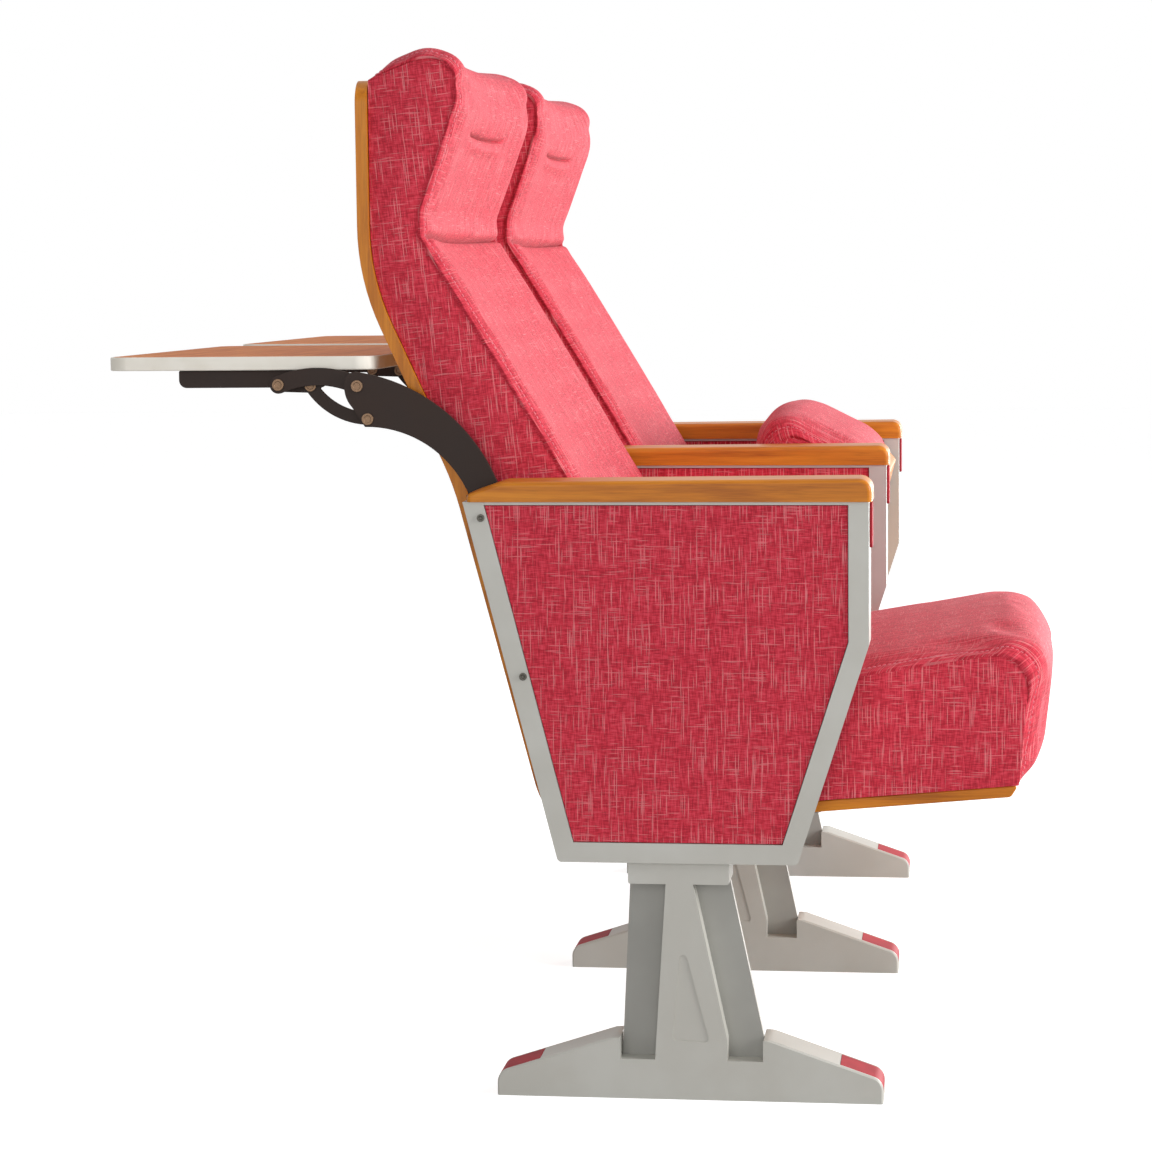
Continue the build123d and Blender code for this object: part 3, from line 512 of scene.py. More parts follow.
@dataclass(frozen=True)
class BareMetal(Finish):
    """Plated or bronzed steel: fine tumbling marks."""

    colour: str = "#A9A8A4"
    shade: str = "#86847F"
    roughness: float = 0.34
    mark_mm: float = 0.7
    mark_depth_mm: float = 0.1

    def shader(self, tree: Tree) -> Node:
        """Metal with marks in its colour and gloss.

        Args:
            tree: The material's node tree.

        Returns:
            The shader node.
        """
        place = add(tree, "ShaderNodeTexCoord").outputs["Object"]
        fine = 1 / (self.mark_mm * MM)
        marks = add(tree, "ShaderNodeTexNoise", {"Vector": place, "Scale": fine, "Detail": 4.0})
        tone = ramp(tree, marks.outputs["Fac"], [(0.35, self.shade), (0.65, self.colour)])
        rough = add(tree, "ShaderNodeMapRange", {
            "Value": marks.outputs["Fac"], "From Min": 0.3, "From Max": 0.7,
            "To Min": self.roughness - 0.08, "To Max": self.roughness + 0.1})
        bump = add(tree, "ShaderNodeBump", {
            "Height": marks.outputs["Fac"], "Strength": 0.1, "Distance": self.mark_depth_mm * MM})
        return add(tree, "ShaderNodeBsdfPrincipled", {
            "Base Color": tone.outputs["Color"], "Metallic": 1.0, "Roughness": rough.outputs[0],
            "Normal": bump.outputs[0]})


# Warm light grey on folded sheet: even, with a soft highlight
FRAME_COAT = PowderCoat("powder_coated_steel")
# The same powder on a sand casting, which leaves it coarser and a little duller
CAST_COAT = PowderCoat("powder_coated_casting", peel_mm=2.2, roughness=0.46)
# Painted shade in the recesses: a darker, flatter grey coat where shade falls
RECESS_SHADE_COAT = PowderCoat("powder_coat_painted_recess_shade", colour="#A3A29C", shade="#9A9993", roughness=0.5)
# Baked enamel on pressed steel, nearly black, with a wide dull highlight
DARK_COAT = PowderCoat("dark_brown_enamel", colour="#33251F", shade="#2C201B", roughness=0.55, specular=0.25)
# Woven polyester: crimson with pale slubs both ways, paler where it turns away
CRIMSON = Heather("crimson_heather_cloth")
# Steamed beech under satin lacquer: golden orange with short dark flecks
GOLDEN = Veneer("lacquered_beech_ply")
# The same face veneer laid upright on the pressed shells
SHELL_PLY = Veneer("lacquered_ply_shell", along=2)
# Printed high pressure laminate: a paler, pinker wood with no gloss of its own
TABLET_TOP = Veneer("orange_laminate", pale="#E8924A", mid="#DD7F37", dark="#CA6D28", along=1, grain_mm=4.5,
                    roughness=0.6, coat=0.0, specular=0.2)
# Extruded vinyl round the tablet: smooth, cream, with a soft shine
EDGE_BAND = Moulded("cream_edge_band", colour="#F6F1E6", shade="#EFE9DC", roughness=0.45)
# Moulded caps and strips: dull brick red, darker than the cloth
RED_CAP = Moulded("red_polypropylene", colour="#AC2732", shade="#9B202C", roughness=0.65, specular=0.25)
# Turned bushes: off white and waxy
NYLON = Moulded("natural_nylon", colour="#D8D5CB", shade="#CBC8BD")
# Stop sleeves: black and quite without shine
BUFFER = Moulded("black_rubber", colour="#26262A", shade="#1E1E21", roughness=0.7)
# Bright zinc on pins, springs and screws: cool grey with cloudy gloss
ZINC = BareMetal("zinc_plated_steel")
# Black zinc on the frame bolts: dark grey heads that stand out on the pale frame
BLACK_ZINC = BareMetal("black_zinc_plated_steel", colour="#6B6861", shade="#4A4842", roughness=0.45)
# Bronzed rivets: brown with a warm glint on their rims
BRONZE = BareMetal("bronzed_steel", colour="#8C705A", shade="#63503F", roughness=0.42)
# Polyester sewing thread: a shade paler than the cloth, so that the stitches show
THREAD = Moulded("sewing_thread", colour="#E0808C", shade="#D56F7D", roughness=0.6, grain_mm=0.5)


# Cloth coordinates and edges


def cloth_map(piece: Piece) -> None:
    """Lays the cloth flat on each face, in metres, by the way that the face looks.

    Args:
        piece: The piece that the cloth covers.
    """
    mesh = piece.data
    layer = mesh.uv_layers.get("Cloth") or mesh.uv_layers.new(name="Cloth")
    for face in mesh.polygons:
        look = [abs(v) for v in face.normal]
        across, up = {0: (1, 2), 1: (0, 2), 2: (0, 1)}[look.index(max(look))]
        for loop in face.loop_indices:
            point = mesh.vertices[mesh.loops[loop].vertex_index].co
            layer.data[loop].uv = (point[across], point[up])


def eased(node: str, name: str, width: float, segments: int = 2, angle: float = 40.0,
          work_on: Shaping | None = None) -> Piece:
    """A copy of a CAD node with its sharp edges eased, as folding, casting or sanding leaves them.

    Args:
        node: The CAD node to copy.
        name: The new piece's name.
        width: The width of the eased edge in millimetres.
        segments: Steps across the eased edge.
        angle: The least angle in degrees at which an edge is sharp.
        work_on: Shapes the joined piece in edit mode before its edges are eased.

    Returns:
        The new piece.
    """
    piece = new_piece(name, bpy.data.objects[node].data.copy())
    activate(piece)
    bpy.ops.object.mode_set(mode="EDIT")
    bpy.ops.mesh.select_all(action="SELECT")
    bpy.ops.mesh.remove_doubles(threshold=NEAR)
    bpy.ops.mesh.dissolve_limited(angle_limit=math.radians(0.5))
    if work_on:
        work_on(piece)
    bpy.ops.object.mode_set(mode="OBJECT")
    bpy.ops.object.shade_smooth()
    bevel = piece.modifiers.new("eased_edges", "BEVEL")
    bevel.width = width * MM
    bevel.segments = segments
    bevel.limit_method = "ANGLE"
    bevel.angle_limit = math.radians(angle)
    bevel.miter_outer = "MITER_ARC"
    even = piece.modifiers.new("even_shading", "WEIGHTED_NORMAL")
    even.weight = 100
    even.keep_sharp = False
    apply_all(piece)
    return piece


def dress_node(node: str, name: str, width: float, finish: Finish, body: str, slot: str,
               **easing: object) -> Piece:
    """Dresses an eased copy of a CAD node in the node's place.

    Args:
        node: The CAD node that the copy replaces.
        name: The new piece's name.
        width: The width of the eased edge in millimetres.
        finish: The finish that covers it.
        body: The body that it rides on.
        slot: The record's material slot; not used.
        easing: More settings of the eased edges.

    Returns:
        The new piece.
    """
    return dress(eased(node, name, width, **easing), finish, body, [node])


def split_hollow_faces(piece: Piece) -> None:
    """Splits the flat faces that bend round a pocket, so that their eased edges stay clean."""
    LOG.debug("splitting the hollow faces of %s", piece.name)
    bpy.ops.mesh.vert_connect_concave()


def select_faces(piece: Piece, wanted: Callable[[bmesh.types.BMFace], bool]) -> None:
    """Selects the wanted faces of the piece that is in edit mode, and nothing else.

    Args:
        piece: The piece in edit mode.
        wanted: Says whether a face is wanted.
    """
    bpy.ops.mesh.select_mode(type="FACE")
    bpy.ops.mesh.select_all(action="DESELECT")
    work = bmesh.from_edit_mesh(piece.data)
    for face in work.faces:
        face.select_set(wanted(face))
    work.select_flush_mode()
    bmesh.update_edit_mesh(piece.data)


def spun_heads(depth: float, rim: float, least: float, most: float) -> Shaping:
    """Dishes every round head that looks along Y. All sizes are in millimetres.

    Args:
        depth: How deep the dish is.
        rim: The width of the rim round it.
        least: The smallest head radius that counts.
        most: The largest head radius that counts.

    Returns:
        A function that works on a piece in edit mode.
    """
    low, high = math.pi * (least * MM) ** 2, math.pi * (most * MM) ** 2
    wall = depth * MM * 0.6
    round_sides = 12

    def work_on(piece: Piece) -> None:
        """Insets each head's flat face and pushes it in.

        Args:
            piece: The piece in edit mode.
        """
        select_faces(piece, lambda f: abs(f.normal.y) > 0.99 and low < f.calc_area() < high
                     and len(f.verts) > round_sides)
        bpy.ops.mesh.inset(thickness=rim * MM, depth=0.0, use_individual=True)
        bpy.ops.mesh.inset(thickness=wall, depth=-depth * MM, use_individual=True)

    return work_on


# Upholstery


def tipped(angle: float) -> Matrix:
    """The turn from the lowered seat to one that is tipped up.

    Args:
        angle: How far it is tipped, in degrees.

    Returns:
        The turn about the seat's pivot.
    """
    middle = Vector((PIVOT[0] * MM, 0, PIVOT[1] * MM))
    turn = Matrix.Rotation(math.radians(-angle), 4, "Y")
    return Matrix.Translation(middle) @ turn @ Matrix.Translation(-middle)


def board_top(x: float) -> float:
    """Height of the lowered seat board's face above the floor at x, in millimetres."""
    return BOARD_FRONT[1] + (x - BOARD_FRONT[0]) * BOARD_SLOPE


@dataclass
class Outline:
    """A cushion's side view: straight runs between rounded corners, in millimetres."""

    corners: list[Corner]

    def drawn(self, depths: list[float]) -> "Outline":
        """The outline with each run moved in by its own depth.

        Args:
            depths: One depth in millimetres for each run, positive to the left of travel.

        Returns:
            The moved outline.
        """
        moved = []
        last = len(self.corners) - 1
        for i, (x, z, r) in enumerate(self.corners):
            near, far = max(i - 1, 0), min(i, last - 1)
            before, after = depths[near], depths[far]
            back, ahead = self.way(near), self.way(far)
            turn = back[0] * ahead[1] - back[1] * ahead[0]
            if abs(turn) < NEAR:
                moved.append((x - after * ahead[1], z + after * ahead[0], r))
                continue
            s, t = -after / turn, before / turn
            moved.append((x + s * back[0] + t * ahead[0], z + s * back[1] + t * ahead[1], r))
        return Outline(moved)

    def way(self, run: int) -> Point:
        """The direction of a run.

        Args:
            run: The run's number.

        Returns:
            A unit vector.
        """
        (ax, az, _), (bx, bz, _) = self.corners[run], self.corners[run + 1]
        length = math.hypot(bx - ax, bz - az)
        return (bx - ax) / length, (bz - az) / length

    def bends(self) -> list[Bend]:
        """The rounded corners.

        Returns:
            Start, end, corner and turn in radians of each.
        """
        found = []
        for i in range(1, len(self.corners) - 1):
            x, z, r = self.corners[i]
            back, ahead = self.way(i - 1), self.way(i)
            cross = back[0] * ahead[1] - back[1] * ahead[0]
            turn = math.atan2(cross, back[0] * ahead[0] + back[1] * ahead[1])
            reach = r * math.tan(abs(turn) / 2)
            start = (x - back[0] * reach, z - back[1] * reach)
            end = (x + ahead[0] * reach, z + ahead[1] * reach)
            found.append((start, end, (x, z), turn))
        return found

    def sampled(self, counts: list[int]) -> list[Point]:
        """Points along the outline.

        Args:
            counts: Steps on each run and each corner in turn.

        Returns:
            The points in millimetres.
        """
        bends = self.bends()
        points: list[Point] = [self.corners[0][:2]]
        for i in range(len(self.corners) - 1):
            bx, bz = bends[i][0] if i < len(bends) else self.corners[-1][:2]
            ax, az = points[-1]
            steps = counts[2 * i]
            points += [(ax + (bx - ax) * k / steps, az + (bz - az) * k / steps) for k in range(1, steps + 1)]
            if i < len(bends):
                points += self.arc(bends[i], counts[2 * i + 1])
        return points

    @staticmethod
    def arc(bend: Bend, steps: int) -> list[Point]:
        """Points round a corner, after its start.

        Args:
            bend: The rounded corner.
            steps: Steps round it.

        Returns:
            The points in millimetres.
        """
        start, end, _, turn = bend
        middle = Vector(((start[0] + end[0]) / 2, (start[1] + end[1]) / 2))
        chord = Vector((end[0] - start[0], end[1] - start[1]))
        if chord.length < NEAR or abs(turn) < NEAR:
            return [end] * steps
        radius = chord.length / 2 / math.sin(abs(turn) / 2)
        side = Vector((-chord.y, chord.x)).normalized() * (1 if turn > 0 else -1)
        centre = middle + side * math.sqrt(max(radius**2 - (chord.length / 2) ** 2, 0))
        first = Vector(start) - centre
        points = []
        for k in range(1, steps + 1):
            a = turn * k / steps
            points.append((centre.x + first.x * math.cos(a) - first.y * math.sin(a),
                           centre.y + first.x * math.sin(a) + first.y * math.cos(a)))
        return points

    def counts(self, step: float) -> list[int]:
        """Steps for each run and each corner in turn.

        Args:
            step: About how far apart the points lie, in millimetres.

        Returns:
            The numbers of steps.
        """
        bends = self.bends()
        result = []
        start = self.corners[0][:2]
        for i in range(len(self.corners) - 1):
            target = bends[i][0] if i < len(bends) else self.corners[-1][:2]
            result.append(max(2, round(math.dist(start, target) / step)))
            if i < len(bends):
                radius = self.corners[i + 1][2]
                result.append(max(3, round(radius * abs(bends[i][3]) / step)))
                start = bends[i][1]
        return result


# How far the profiles stand from the seam, in millimetres, on each side of the stitches' own profile
SEAM_SIDE = (0.0, 0.4, 1.6, 3.4, 5.2, 6.7)
ROLL_SIDE = (9.3, 12.0, 16.0, 21.0, 27.0, 34.0, 43.0)
PROFILE_STEP = 13.0
# Across the sewn crease: a point's number, its reach along the cover and its depth, in millimetres
CREASE_SHAPE = ((-3, 11.5, -0.9), (-2, 5.6, -1.6), (-1, 1.9, 1.6), (0, 0.0, 11.0), (1, 1.9, 1.6),
                (2, 5.6, -1.6), (3, 11.5, -0.9))
# The side panel's first rows: millimetres from the seam, and the most as a share of the panel's height
SIDE_STARTS = ((2.6, 0.08), (6.5, 0.16))
# How far from the seam the side panel comes out of the seam's groove, in millimetres
GROOVE_REACH = 3.6
# Moves the side panels' cloth away from the face's own threads, in metres
SIDE_CLOTH: Point = (0.31, 0.17)
# About how far apart the base line's points lie, in millimetres
BASE_STEP = 10.0
# Points of the cover closer than this are one, in metres
WELD = 1e-5
# Along a stitch: share of its length, rise over the cover in millimetres, share of the thread's radius
STITCH_RINGS = ((0.0, -0.35, 0.55), (0.2, 0.25, 1.0), (0.8, 0.25, 1.0), (1.0, -0.35, 0.55))
THREAD_SIDES = 6
# How the cover behaves while the foam swells it: its weight, its stiffness and what holds it
COVER_SETTINGS = {
    "quality": 4, "mass": 0.3, "tension_stiffness": 25, "compression_stiffness": 25, "shear_stiffness": 10,
    "bending_stiffness": 2.0, "use_pressure": True, "vertex_group_mass": "held",
}


@dataclass
class Upholstery:
    """A foam block in a sewn cover: a face panel with rolled edges, two side panels and a base on its board.

    Lengths are in millimetres. Draws and swells say, for each run of the face, how far its edges roll
    in and how far its middle rises. Crease is the corner of the face that holds the sewn crease.
    """

    name: str
    node: str
    body: str
    face: Outline
    base: Outline
    draws: list[float]
    swells: list[float]
    half_width: float
    roll: float
    centre: float
    tip: float = 0.0
    step: float = 6.5
    side_rows: int = 6
    pressure: float = 1.1
    cap: float = 3.0
    swell_time: int = 18
    crease: int | None = None
    crease_fade: float = 6.0
    base_by_height: bool = True
    seam_nose: Corner | None = None
    seam_sink: float = 4.2
    stitch_gap: float = 8.0
    stitch_dent: float = 1.0
    dent_half: float = 1.3
    side_lean: float = 0.0
    weave_shift: float = 0.0
    after: Callable[["Upholstery", Piece], None] | None = None
    stitched: list[list[int]] = field(default_factory=list)

    def places(self) -> list[float]:
        """Where the profiles stand across the cushion, closer at its rolled edges.

        Returns:
            The places in millimetres from its middle.
        """
        near = [*SEAM_SIDE, self.stitch_gap, *ROLL_SIDE]
        inside = self.half_width - near[-1]
        steps = max(2, round(2 * inside / PROFILE_STEP))
        middle = [-inside + 2 * inside * k / steps for k in range(1, steps)]
        left = [-self.half_width + d for d in near]
        return left + middle + [-v for v in reversed(left)]

    def profile(self, place: float) -> Outline:
        """The face's outline at a place across the cushion, with both ends kept on the base.

        Args:
            place: The place across the cushion.

        Returns:
            The outline.
        """
        gap = self.half_width - abs(place)
        u = min(gap / self.roll, 1.0)
        edge = 1 - math.sqrt(max(0.0, 1 - (1 - u) ** 2))
        swell = 1 - (place / self.half_width) ** 2
        dent = mound(gap, self.stitch_dent, self.stitch_gap, self.dent_half)
        depths = [draw * edge - rise * swell + (dent if draw else 0.0)
                  for draw, rise in zip(self.draws, self.swells)]
        corners = self.face.drawn(depths).corners
        corners[0], corners[-1] = self.face.corners[0], self.face.corners[-1]
        if self.seam_nose:
            corners[1] = tuple(a + (b - a) * edge for a, b in zip(corners[1], self.seam_nose))
        return Outline(corners)

    def row(self, place: float, counts: list[int]) -> list[Point]:
        """The face's points at a place, with the sewn crease sunk.

        Args:
            place: The place across the cushion.
            counts: Steps on each run and corner.

        Returns:
            The points.
        """
        points = self.profile(place).sampled(counts)
        if self.crease is not None:
            self.sink_crease(points, counts, self.half_width - abs(place))
        return points

    def crease_index(self, counts: list[int]) -> int:
        """The point of a row that lies in the sewn crease."""
        return sum(counts[: 2 * self.crease + 1]) + counts[2 * self.crease + 1] // 2

    def sink_crease(self, row: list[Point], counts: list[int], gap: float) -> None:
        """Draws the cover in along the sewn crease, narrow and deep, between the rolled edges.

        Args:
            row: The face's points at one place, which are moved.
            counts: Steps on each run and corner.
            gap: How far the place is from the seam.
        """
        index = self.crease_index(counts)
        share = min(max((gap - self.stitch_gap) / self.crease_fade, 0.0), 1.0)
        share = share * share * (3 - 2 * share)
        middle = row[index]
        ways = {}
        for side in (-1, 1):
            ahead = Vector(row[index + 3 * side]) - Vector(middle)
            ahead.normalize()
            ways[side] = (ahead, Vector((ahead.y, -ahead.x)) * side)
        for k, reach, depth in CREASE_SHAPE:
            ahead, out = ways[1 if k > 0 else -1]
            if k == 0:
                out = (ways[-1][1] + ways[1][1]).normalized()
            target = Vector(middle) + ahead * reach - out * depth
            moved = Vector(row[index + k]).lerp(target, share)
            row[index + k] = (moved.x, moved.y)

    def base_points(self, face: list[Point]) -> list[Point]:
        """The points on the base line that the points of a face line are joined to.

        Args:
            face: The face line's points.

        Returns:
            A point of the base line for each.
        """
        line = self.base.sampled(self.base.counts(BASE_STEP))
        key = 1 if self.base_by_height else 0
        if line[0][key] > line[-1][key]:
            line.reverse()
        points = []
        for point in face:
            value = min(max(point[key], line[0][key]), line[-1][key])
            for a, b in zip(line, line[1:]):
                if a[key] <= value <= b[key]:
                    t = (value - a[key]) / max(b[key] - a[key], TINY)
                    points.append((a[0] + (b[0] - a[0]) * t, a[1] + (b[1] - a[1]) * t))
                    break
        return points

    def build(self) -> Piece:
        """Builds, swells and dresses the cushion and its stitches.

        Returns:
            The cushion.
        """
        piece = new_piece(self.name, self.sew_cover())
        self.swell(piece)
        verts = piece.data.vertices
        paths = [[verts[i].co.copy() for i in line] for line in self.stitched]
        normals = [[verts[i].normal.copy() for i in line] for line in self.stitched]
        refine = piece.modifiers.new("refine", "SUBSURF")
        refine.levels = refine.render_levels = 1
        apply_all(piece)
        if self.after:
            self.after(self, piece)
        piece.data.transform(tipped(self.tip))
        smooth(piece, 55.0)
        dress(piece, CRIMSON, self.body, [self.node])
        self.build_stitches(paths, normals)
        return piece

    def sew_cover(self) -> bpy.types.Mesh:
        """Joins the cover's panels, holds their seams and notes where the stitches run.

        Returns:
            The cover's mesh.
        """
        counts = self.face.counts(self.step)
        places = self.places()
        rows = [self.row(place, counts) for place in places]
        work = bmesh.new()
        held = work.verts.layers.float.new("held")
        sharp = work.edges.layers.float.new("crease_edge")
        cloth = work.loops.layers.uv.new("Cloth")
        grid = [[work.verts.new((x * MM, (self.centre + self.inboard(p)) * MM, z * MM)) for x, z in row]
                for p, row in zip(places, rows)]
        self.weave_face(work, grid, places, rows, cloth)
        lows = [self.side_panel(work, grid[k], self.base_points(rows[k]), cloth, k) for k in (0, -1)]
        self.close_base(work, grid, lows, cloth)
        ends = [[row[0] for row in grid], [row[-1] for row in grid]]
        for vert in [v for line in (grid[0], grid[-1], *lows, *ends) for v in line]:
            vert[held] = 1.0
        seams = [*lows, *ends]
        if self.crease is not None:
            index = self.crease_index(counts)
            for vert in [row[index + k] for row in grid for k in (-1, 0, 1)]:
                vert[held] = 1.0
            seams.append([row[index] for row in grid])
        for a, b in [pair for line in seams for pair in zip(line, line[1:])]:
            edge = work.edges.get((a, b))
            if edge:
                edge[sharp] = 1.0
        bmesh.ops.remove_doubles(work, verts=work.verts, dist=WELD)
        bmesh.ops.recalc_face_normals(work, faces=work.faces)
        work.verts.index_update()
        stitch = min(range(len(places)), key=lambda k: abs(places[k] + self.half_width - self.stitch_gap))
        self.stitched = [[v.index for v in grid[k] if v.is_valid]
                         for k in (stitch, len(places) - 1 - stitch)]
        mesh = bpy.data.meshes.new(self.name)
        work.to_mesh(mesh)
        work.free()
        return mesh

    def inboard(self, place: float) -> float:
        """A profile's place, with the seam itself sunk behind the roll."""
        sunk = self.seam_sink if abs(place) >= self.half_width else 0.0
        return math.copysign(abs(place) - sunk, place)

    def weave_face(self, work: Work, grid: list[Line], places: list[float], rows: list[list[Point]],
                   cloth: object) -> None:
        """Fills the face panel and lays its cloth along the profile.

        Args:
            work: The mesh under work.
            grid: The face's points by profile.
            places: Where the profiles stand.
            rows: The profiles' points in millimetres.
            cloth: The layer of cloth coordinates.
        """
        run = [0.0]
        middle = rows[len(rows) // 2]
        for a, b in zip(middle, middle[1:]):
            run.append(run[-1] + math.dist(a, b))
        for j in range(len(grid) - 1):
            for i in range(len(grid[0]) - 1):
                spots = ((j, i), (j + 1, i), (j + 1, i + 1), (j, i + 1))
                face = work.faces.new([grid[row][k] for row, k in spots])
                for loop, (row, k) in zip(face.loops, spots):
                    loop[cloth].uv = (places[row] * MM, (run[k] + self.weave_shift) * MM)

    def side_panel(self, work: Work, rim: Line, base: list[Point], cloth: object, end: int) -> Line:
        """Fills one side between the seam and the base.

        Args:
            work: The mesh under work.
            rim: The seam's points.
            base: The base line's points.
            cloth: The layer of cloth coordinates.
            end: 0 for the right side and -1 for the left.

        Returns:
            The base's points on this side, whose ends are the seam's own ends.
        """
        columns = []
        side = -1 if end == 0 else 1
        last = len(rim) - 1
        for i, (vert, (bx, bz)) in enumerate(zip(rim, base)):
            column = [vert]
            length = math.hypot(bx - vert.co.x / MM, bz - vert.co.z / MM)
            for t in self.side_steps(length):
                x = vert.co.x + (bx * MM - vert.co.x) * t
                z = vert.co.z + (bz * MM - vert.co.z) * t
                sunk = 1.0 + mound(t * length, self.seam_sink - 1.0, 0.0, GROOVE_REACH)
                y = (self.centre + side * (self.half_width - sunk * (1 - t))) * MM
                column.append(vert if i in (0, last) else work.verts.new((x, y, z)))
            columns.append(column)
        lean = math.tan(math.radians(self.side_lean))
        for a, b in zip(columns, columns[1:]):
            for k in range(self.side_rows):
                corners = [a[k], b[k], b[k + 1], a[k + 1]]
                corners = [v for n, v in enumerate(corners) if v not in corners[:n]]
                if len(corners) < 3:
                    continue
                face = work.faces.new(corners if end == 0 else list(reversed(corners)))
                for loop in face.loops:
                    x, z = loop.vert.co.x, loop.vert.co.z
                    loop[cloth].uv = (x + z * lean + SIDE_CLOTH[0], z - x * lean + SIDE_CLOTH[1])
        return [column[-1] for column in columns]

    def side_steps(self, length: float) -> list[float]:
        """Where the side panel's rows lie between the seam and the base, closer at the seam.

        Args:
            length: From the seam to the base.

        Returns:
            The rows' places as shares of that length.
        """
        first = [min(near / max(length, 1.0), most) for near, most in SIDE_STARTS]
        return first + [0.2 + 0.8 * k / (self.side_rows - 2) for k in range(1, self.side_rows - 1)]

    def close_base(self, work: Work, grid: list[Line], lows: list[Line], cloth: object) -> None:
        """Closes the base between the two sides, with the face's end lines in its end strips.

        Args:
            work: The mesh under work.
            grid: The face's points by profile.
            lows: The base's points on each side.
            cloth: The layer of cloth coordinates.
        """
        last = len(lows[0]) - 2
        for i in range(last + 1):
            near = [row[0] for row in grid] if i == 0 else [lows[0][i], lows[1][i]]
            far = [row[-1] for row in grid] if i == last else [lows[0][i + 1], lows[1][i + 1]]
            face = work.faces.new(near + list(reversed(far)))
            for loop in face.loops:
                loop[cloth].uv = (loop.vert.co.x, loop.vert.co.y)

    def swell(self, piece: Piece) -> None:
        """Blows the cover up a little between its seams, as the foam does.

        Args:
            piece: The cover, which is reshaped.
        """
        mesh = piece.data
        group = piece.vertex_groups.new(name="held")
        layer = mesh.attributes["held"].data
        group.add([i for i, item in enumerate(layer) if item.value > 0.5], 1.0, "REPLACE")
        before = [v.co.copy() for v in mesh.vertices]
        cloth = piece.modifiers.new("foam", "CLOTH")
        settings = cloth.settings
        for key, value in COVER_SETTINGS.items():
            setattr(settings, key, value)
        settings.uniform_pressure_force = self.pressure
        settings.effector_weights.gravity = 0
        cloth.collision_settings.use_collision = False
        scene = bpy.context.scene
        for frame in range(1, self.swell_time + 1):
            scene.frame_set(frame)
        apply_all(piece)
        scene.frame_set(1)
        cap = self.cap * MM
        moves = []
        for vert, start in zip(piece.data.vertices, before):
            move = vert.co - start
            moves.append(move.length)
            if move.length > cap:
                vert.co = start + move * (cap / move.length)
        LOG.info("%s swelled %.1f mm at most, %.1f mm on average", self.name, max(moves) / MM,
                 sum(moves) / len(moves) / MM)

    def build_stitches(self, paths: list[list[Vector]], normals: list[list[Vector]]) -> None:
        """Lays a row of stitches beside each seam.

        Args:
            paths: The rows that the needle follows.
            normals: The cover's outward directions along them.
        """
        name = self.name + "_stitches"
        work = bmesh.new()
        for path, ways in zip(paths, normals):
            self.sew(work, path, ways)
        mesh = bpy.data.meshes.new(name)
        work.to_mesh(mesh)
        work.free()
        mesh.transform(tipped(self.tip))
        piece = new_piece(name, mesh)
        smooth(piece, 80.0)
        dress(piece, THREAD, self.body)

    def sew(self, work: Work, path: list[Vector], ways: list[Vector], pitch: float = 5.2,
            length: float = 3.8, radius: float = 0.55) -> None:
        """Adds the stitches of one row.

        Args:
            work: The mesh that takes the stitches.
            path: The row's points in metres.
            ways: The outward direction at each point.
            pitch: From one stitch to the next.
            length: A stitch's length.
            radius: The thread's radius.
        """
        runs = [0.0]
        for a, b in zip(path, path[1:]):
            runs.append(runs[-1] + (b - a).length)

        def at(distance: float) -> tuple[Vector, Vector]:
            """A place along the row.

            Args:
                distance: How far along it lies, in metres.

            Returns:
                The point and the outward way there.
            """
            index = 0
            while index < len(runs) - 2 and runs[index + 1] < distance:
                index += 1
            share = (distance - runs[index]) / max(runs[index + 1] - runs[index], TINY)
            way = ways[index].lerp(ways[index + 1], share).normalized()
            return path[index].lerp(path[index + 1], share), way

        spokes = [k * math.tau / THREAD_SIDES for k in range(THREAD_SIDES)]
        start = 2 * pitch * MM
        while start + length * MM < runs[-1] - pitch * MM:
            rings = []
            for share, lift, size in STITCH_RINGS:
                point, way = at(start + share * length * MM)
                ahead = (at(start + (share * length + 0.5) * MM)[0] - point).normalized()
                across = ahead.cross(way).normalized()
                centre = point + way * lift * MM
                rings.append([work.verts.new(centre + (across * math.cos(a) + way * math.sin(a))
                                             * radius * size * MM) for a in spokes])
            for a, b in zip(rings, rings[1:]):
                for k in range(THREAD_SIDES):
                    after = (k + 1) % THREAD_SIDES
                    work.faces.new((a[k], a[after], b[after], b[k]))
            work.faces.new(list(reversed(rings[0])))
            work.faces.new(rings[-1])
            start += pitch * MM


@dataclass
class SeatPad:
    """The seat's upholstery, drawn lowered, in millimetres."""

    seat: Seat
    rear: float = -108.0
    under: float = 328.5
    nose: Corner = (347.0, 330.0, 30.0)
    front_top: Corner = (362.5, 466.0, 34.0)
    rear_radius: float = 30.0
    slope: float = 0.172
    clear: float = 0.6
    half_width: float = 250.0
    roll: float = 34.0
    weave_shift: float = 40.0

    def build(self) -> Piece:
        """Builds the seat cushion on its board.

        Returns:
            The cushion.
        """
        key = self.seat.value
        rear_low = board_top(self.rear) + self.clear
        front_low = board_top(self.under) + self.clear
        rear_top = self.front_top[1] - self.slope * (self.front_top[0] - self.rear)
        face = Outline([(self.under, front_low, 0), self.nose, self.front_top,
                        (self.rear, rear_top, self.rear_radius), (self.rear, rear_low, 0)])
        base = Outline([(self.rear, rear_low, 0), (self.under, front_low, 0)])
        return Upholstery(
            name=f"seat_pad_{key}", node=f"seat_cushion_{key}", body=f"seat_{key}", face=face, base=base,
            draws=[18.0, 18.0, 11.0, 0.0], swells=[0.0, 6.0, 11.0, 0.0], half_width=self.half_width,
            roll=self.roll, centre=self.seat.centre / MM, seam_nose=(330.0, 341.0, 10.0), tip=self.seat.tip,
            base_by_height=False, weave_shift=self.weave_shift if self.seat is Seat.LEFT else 0.0,
        ).build()


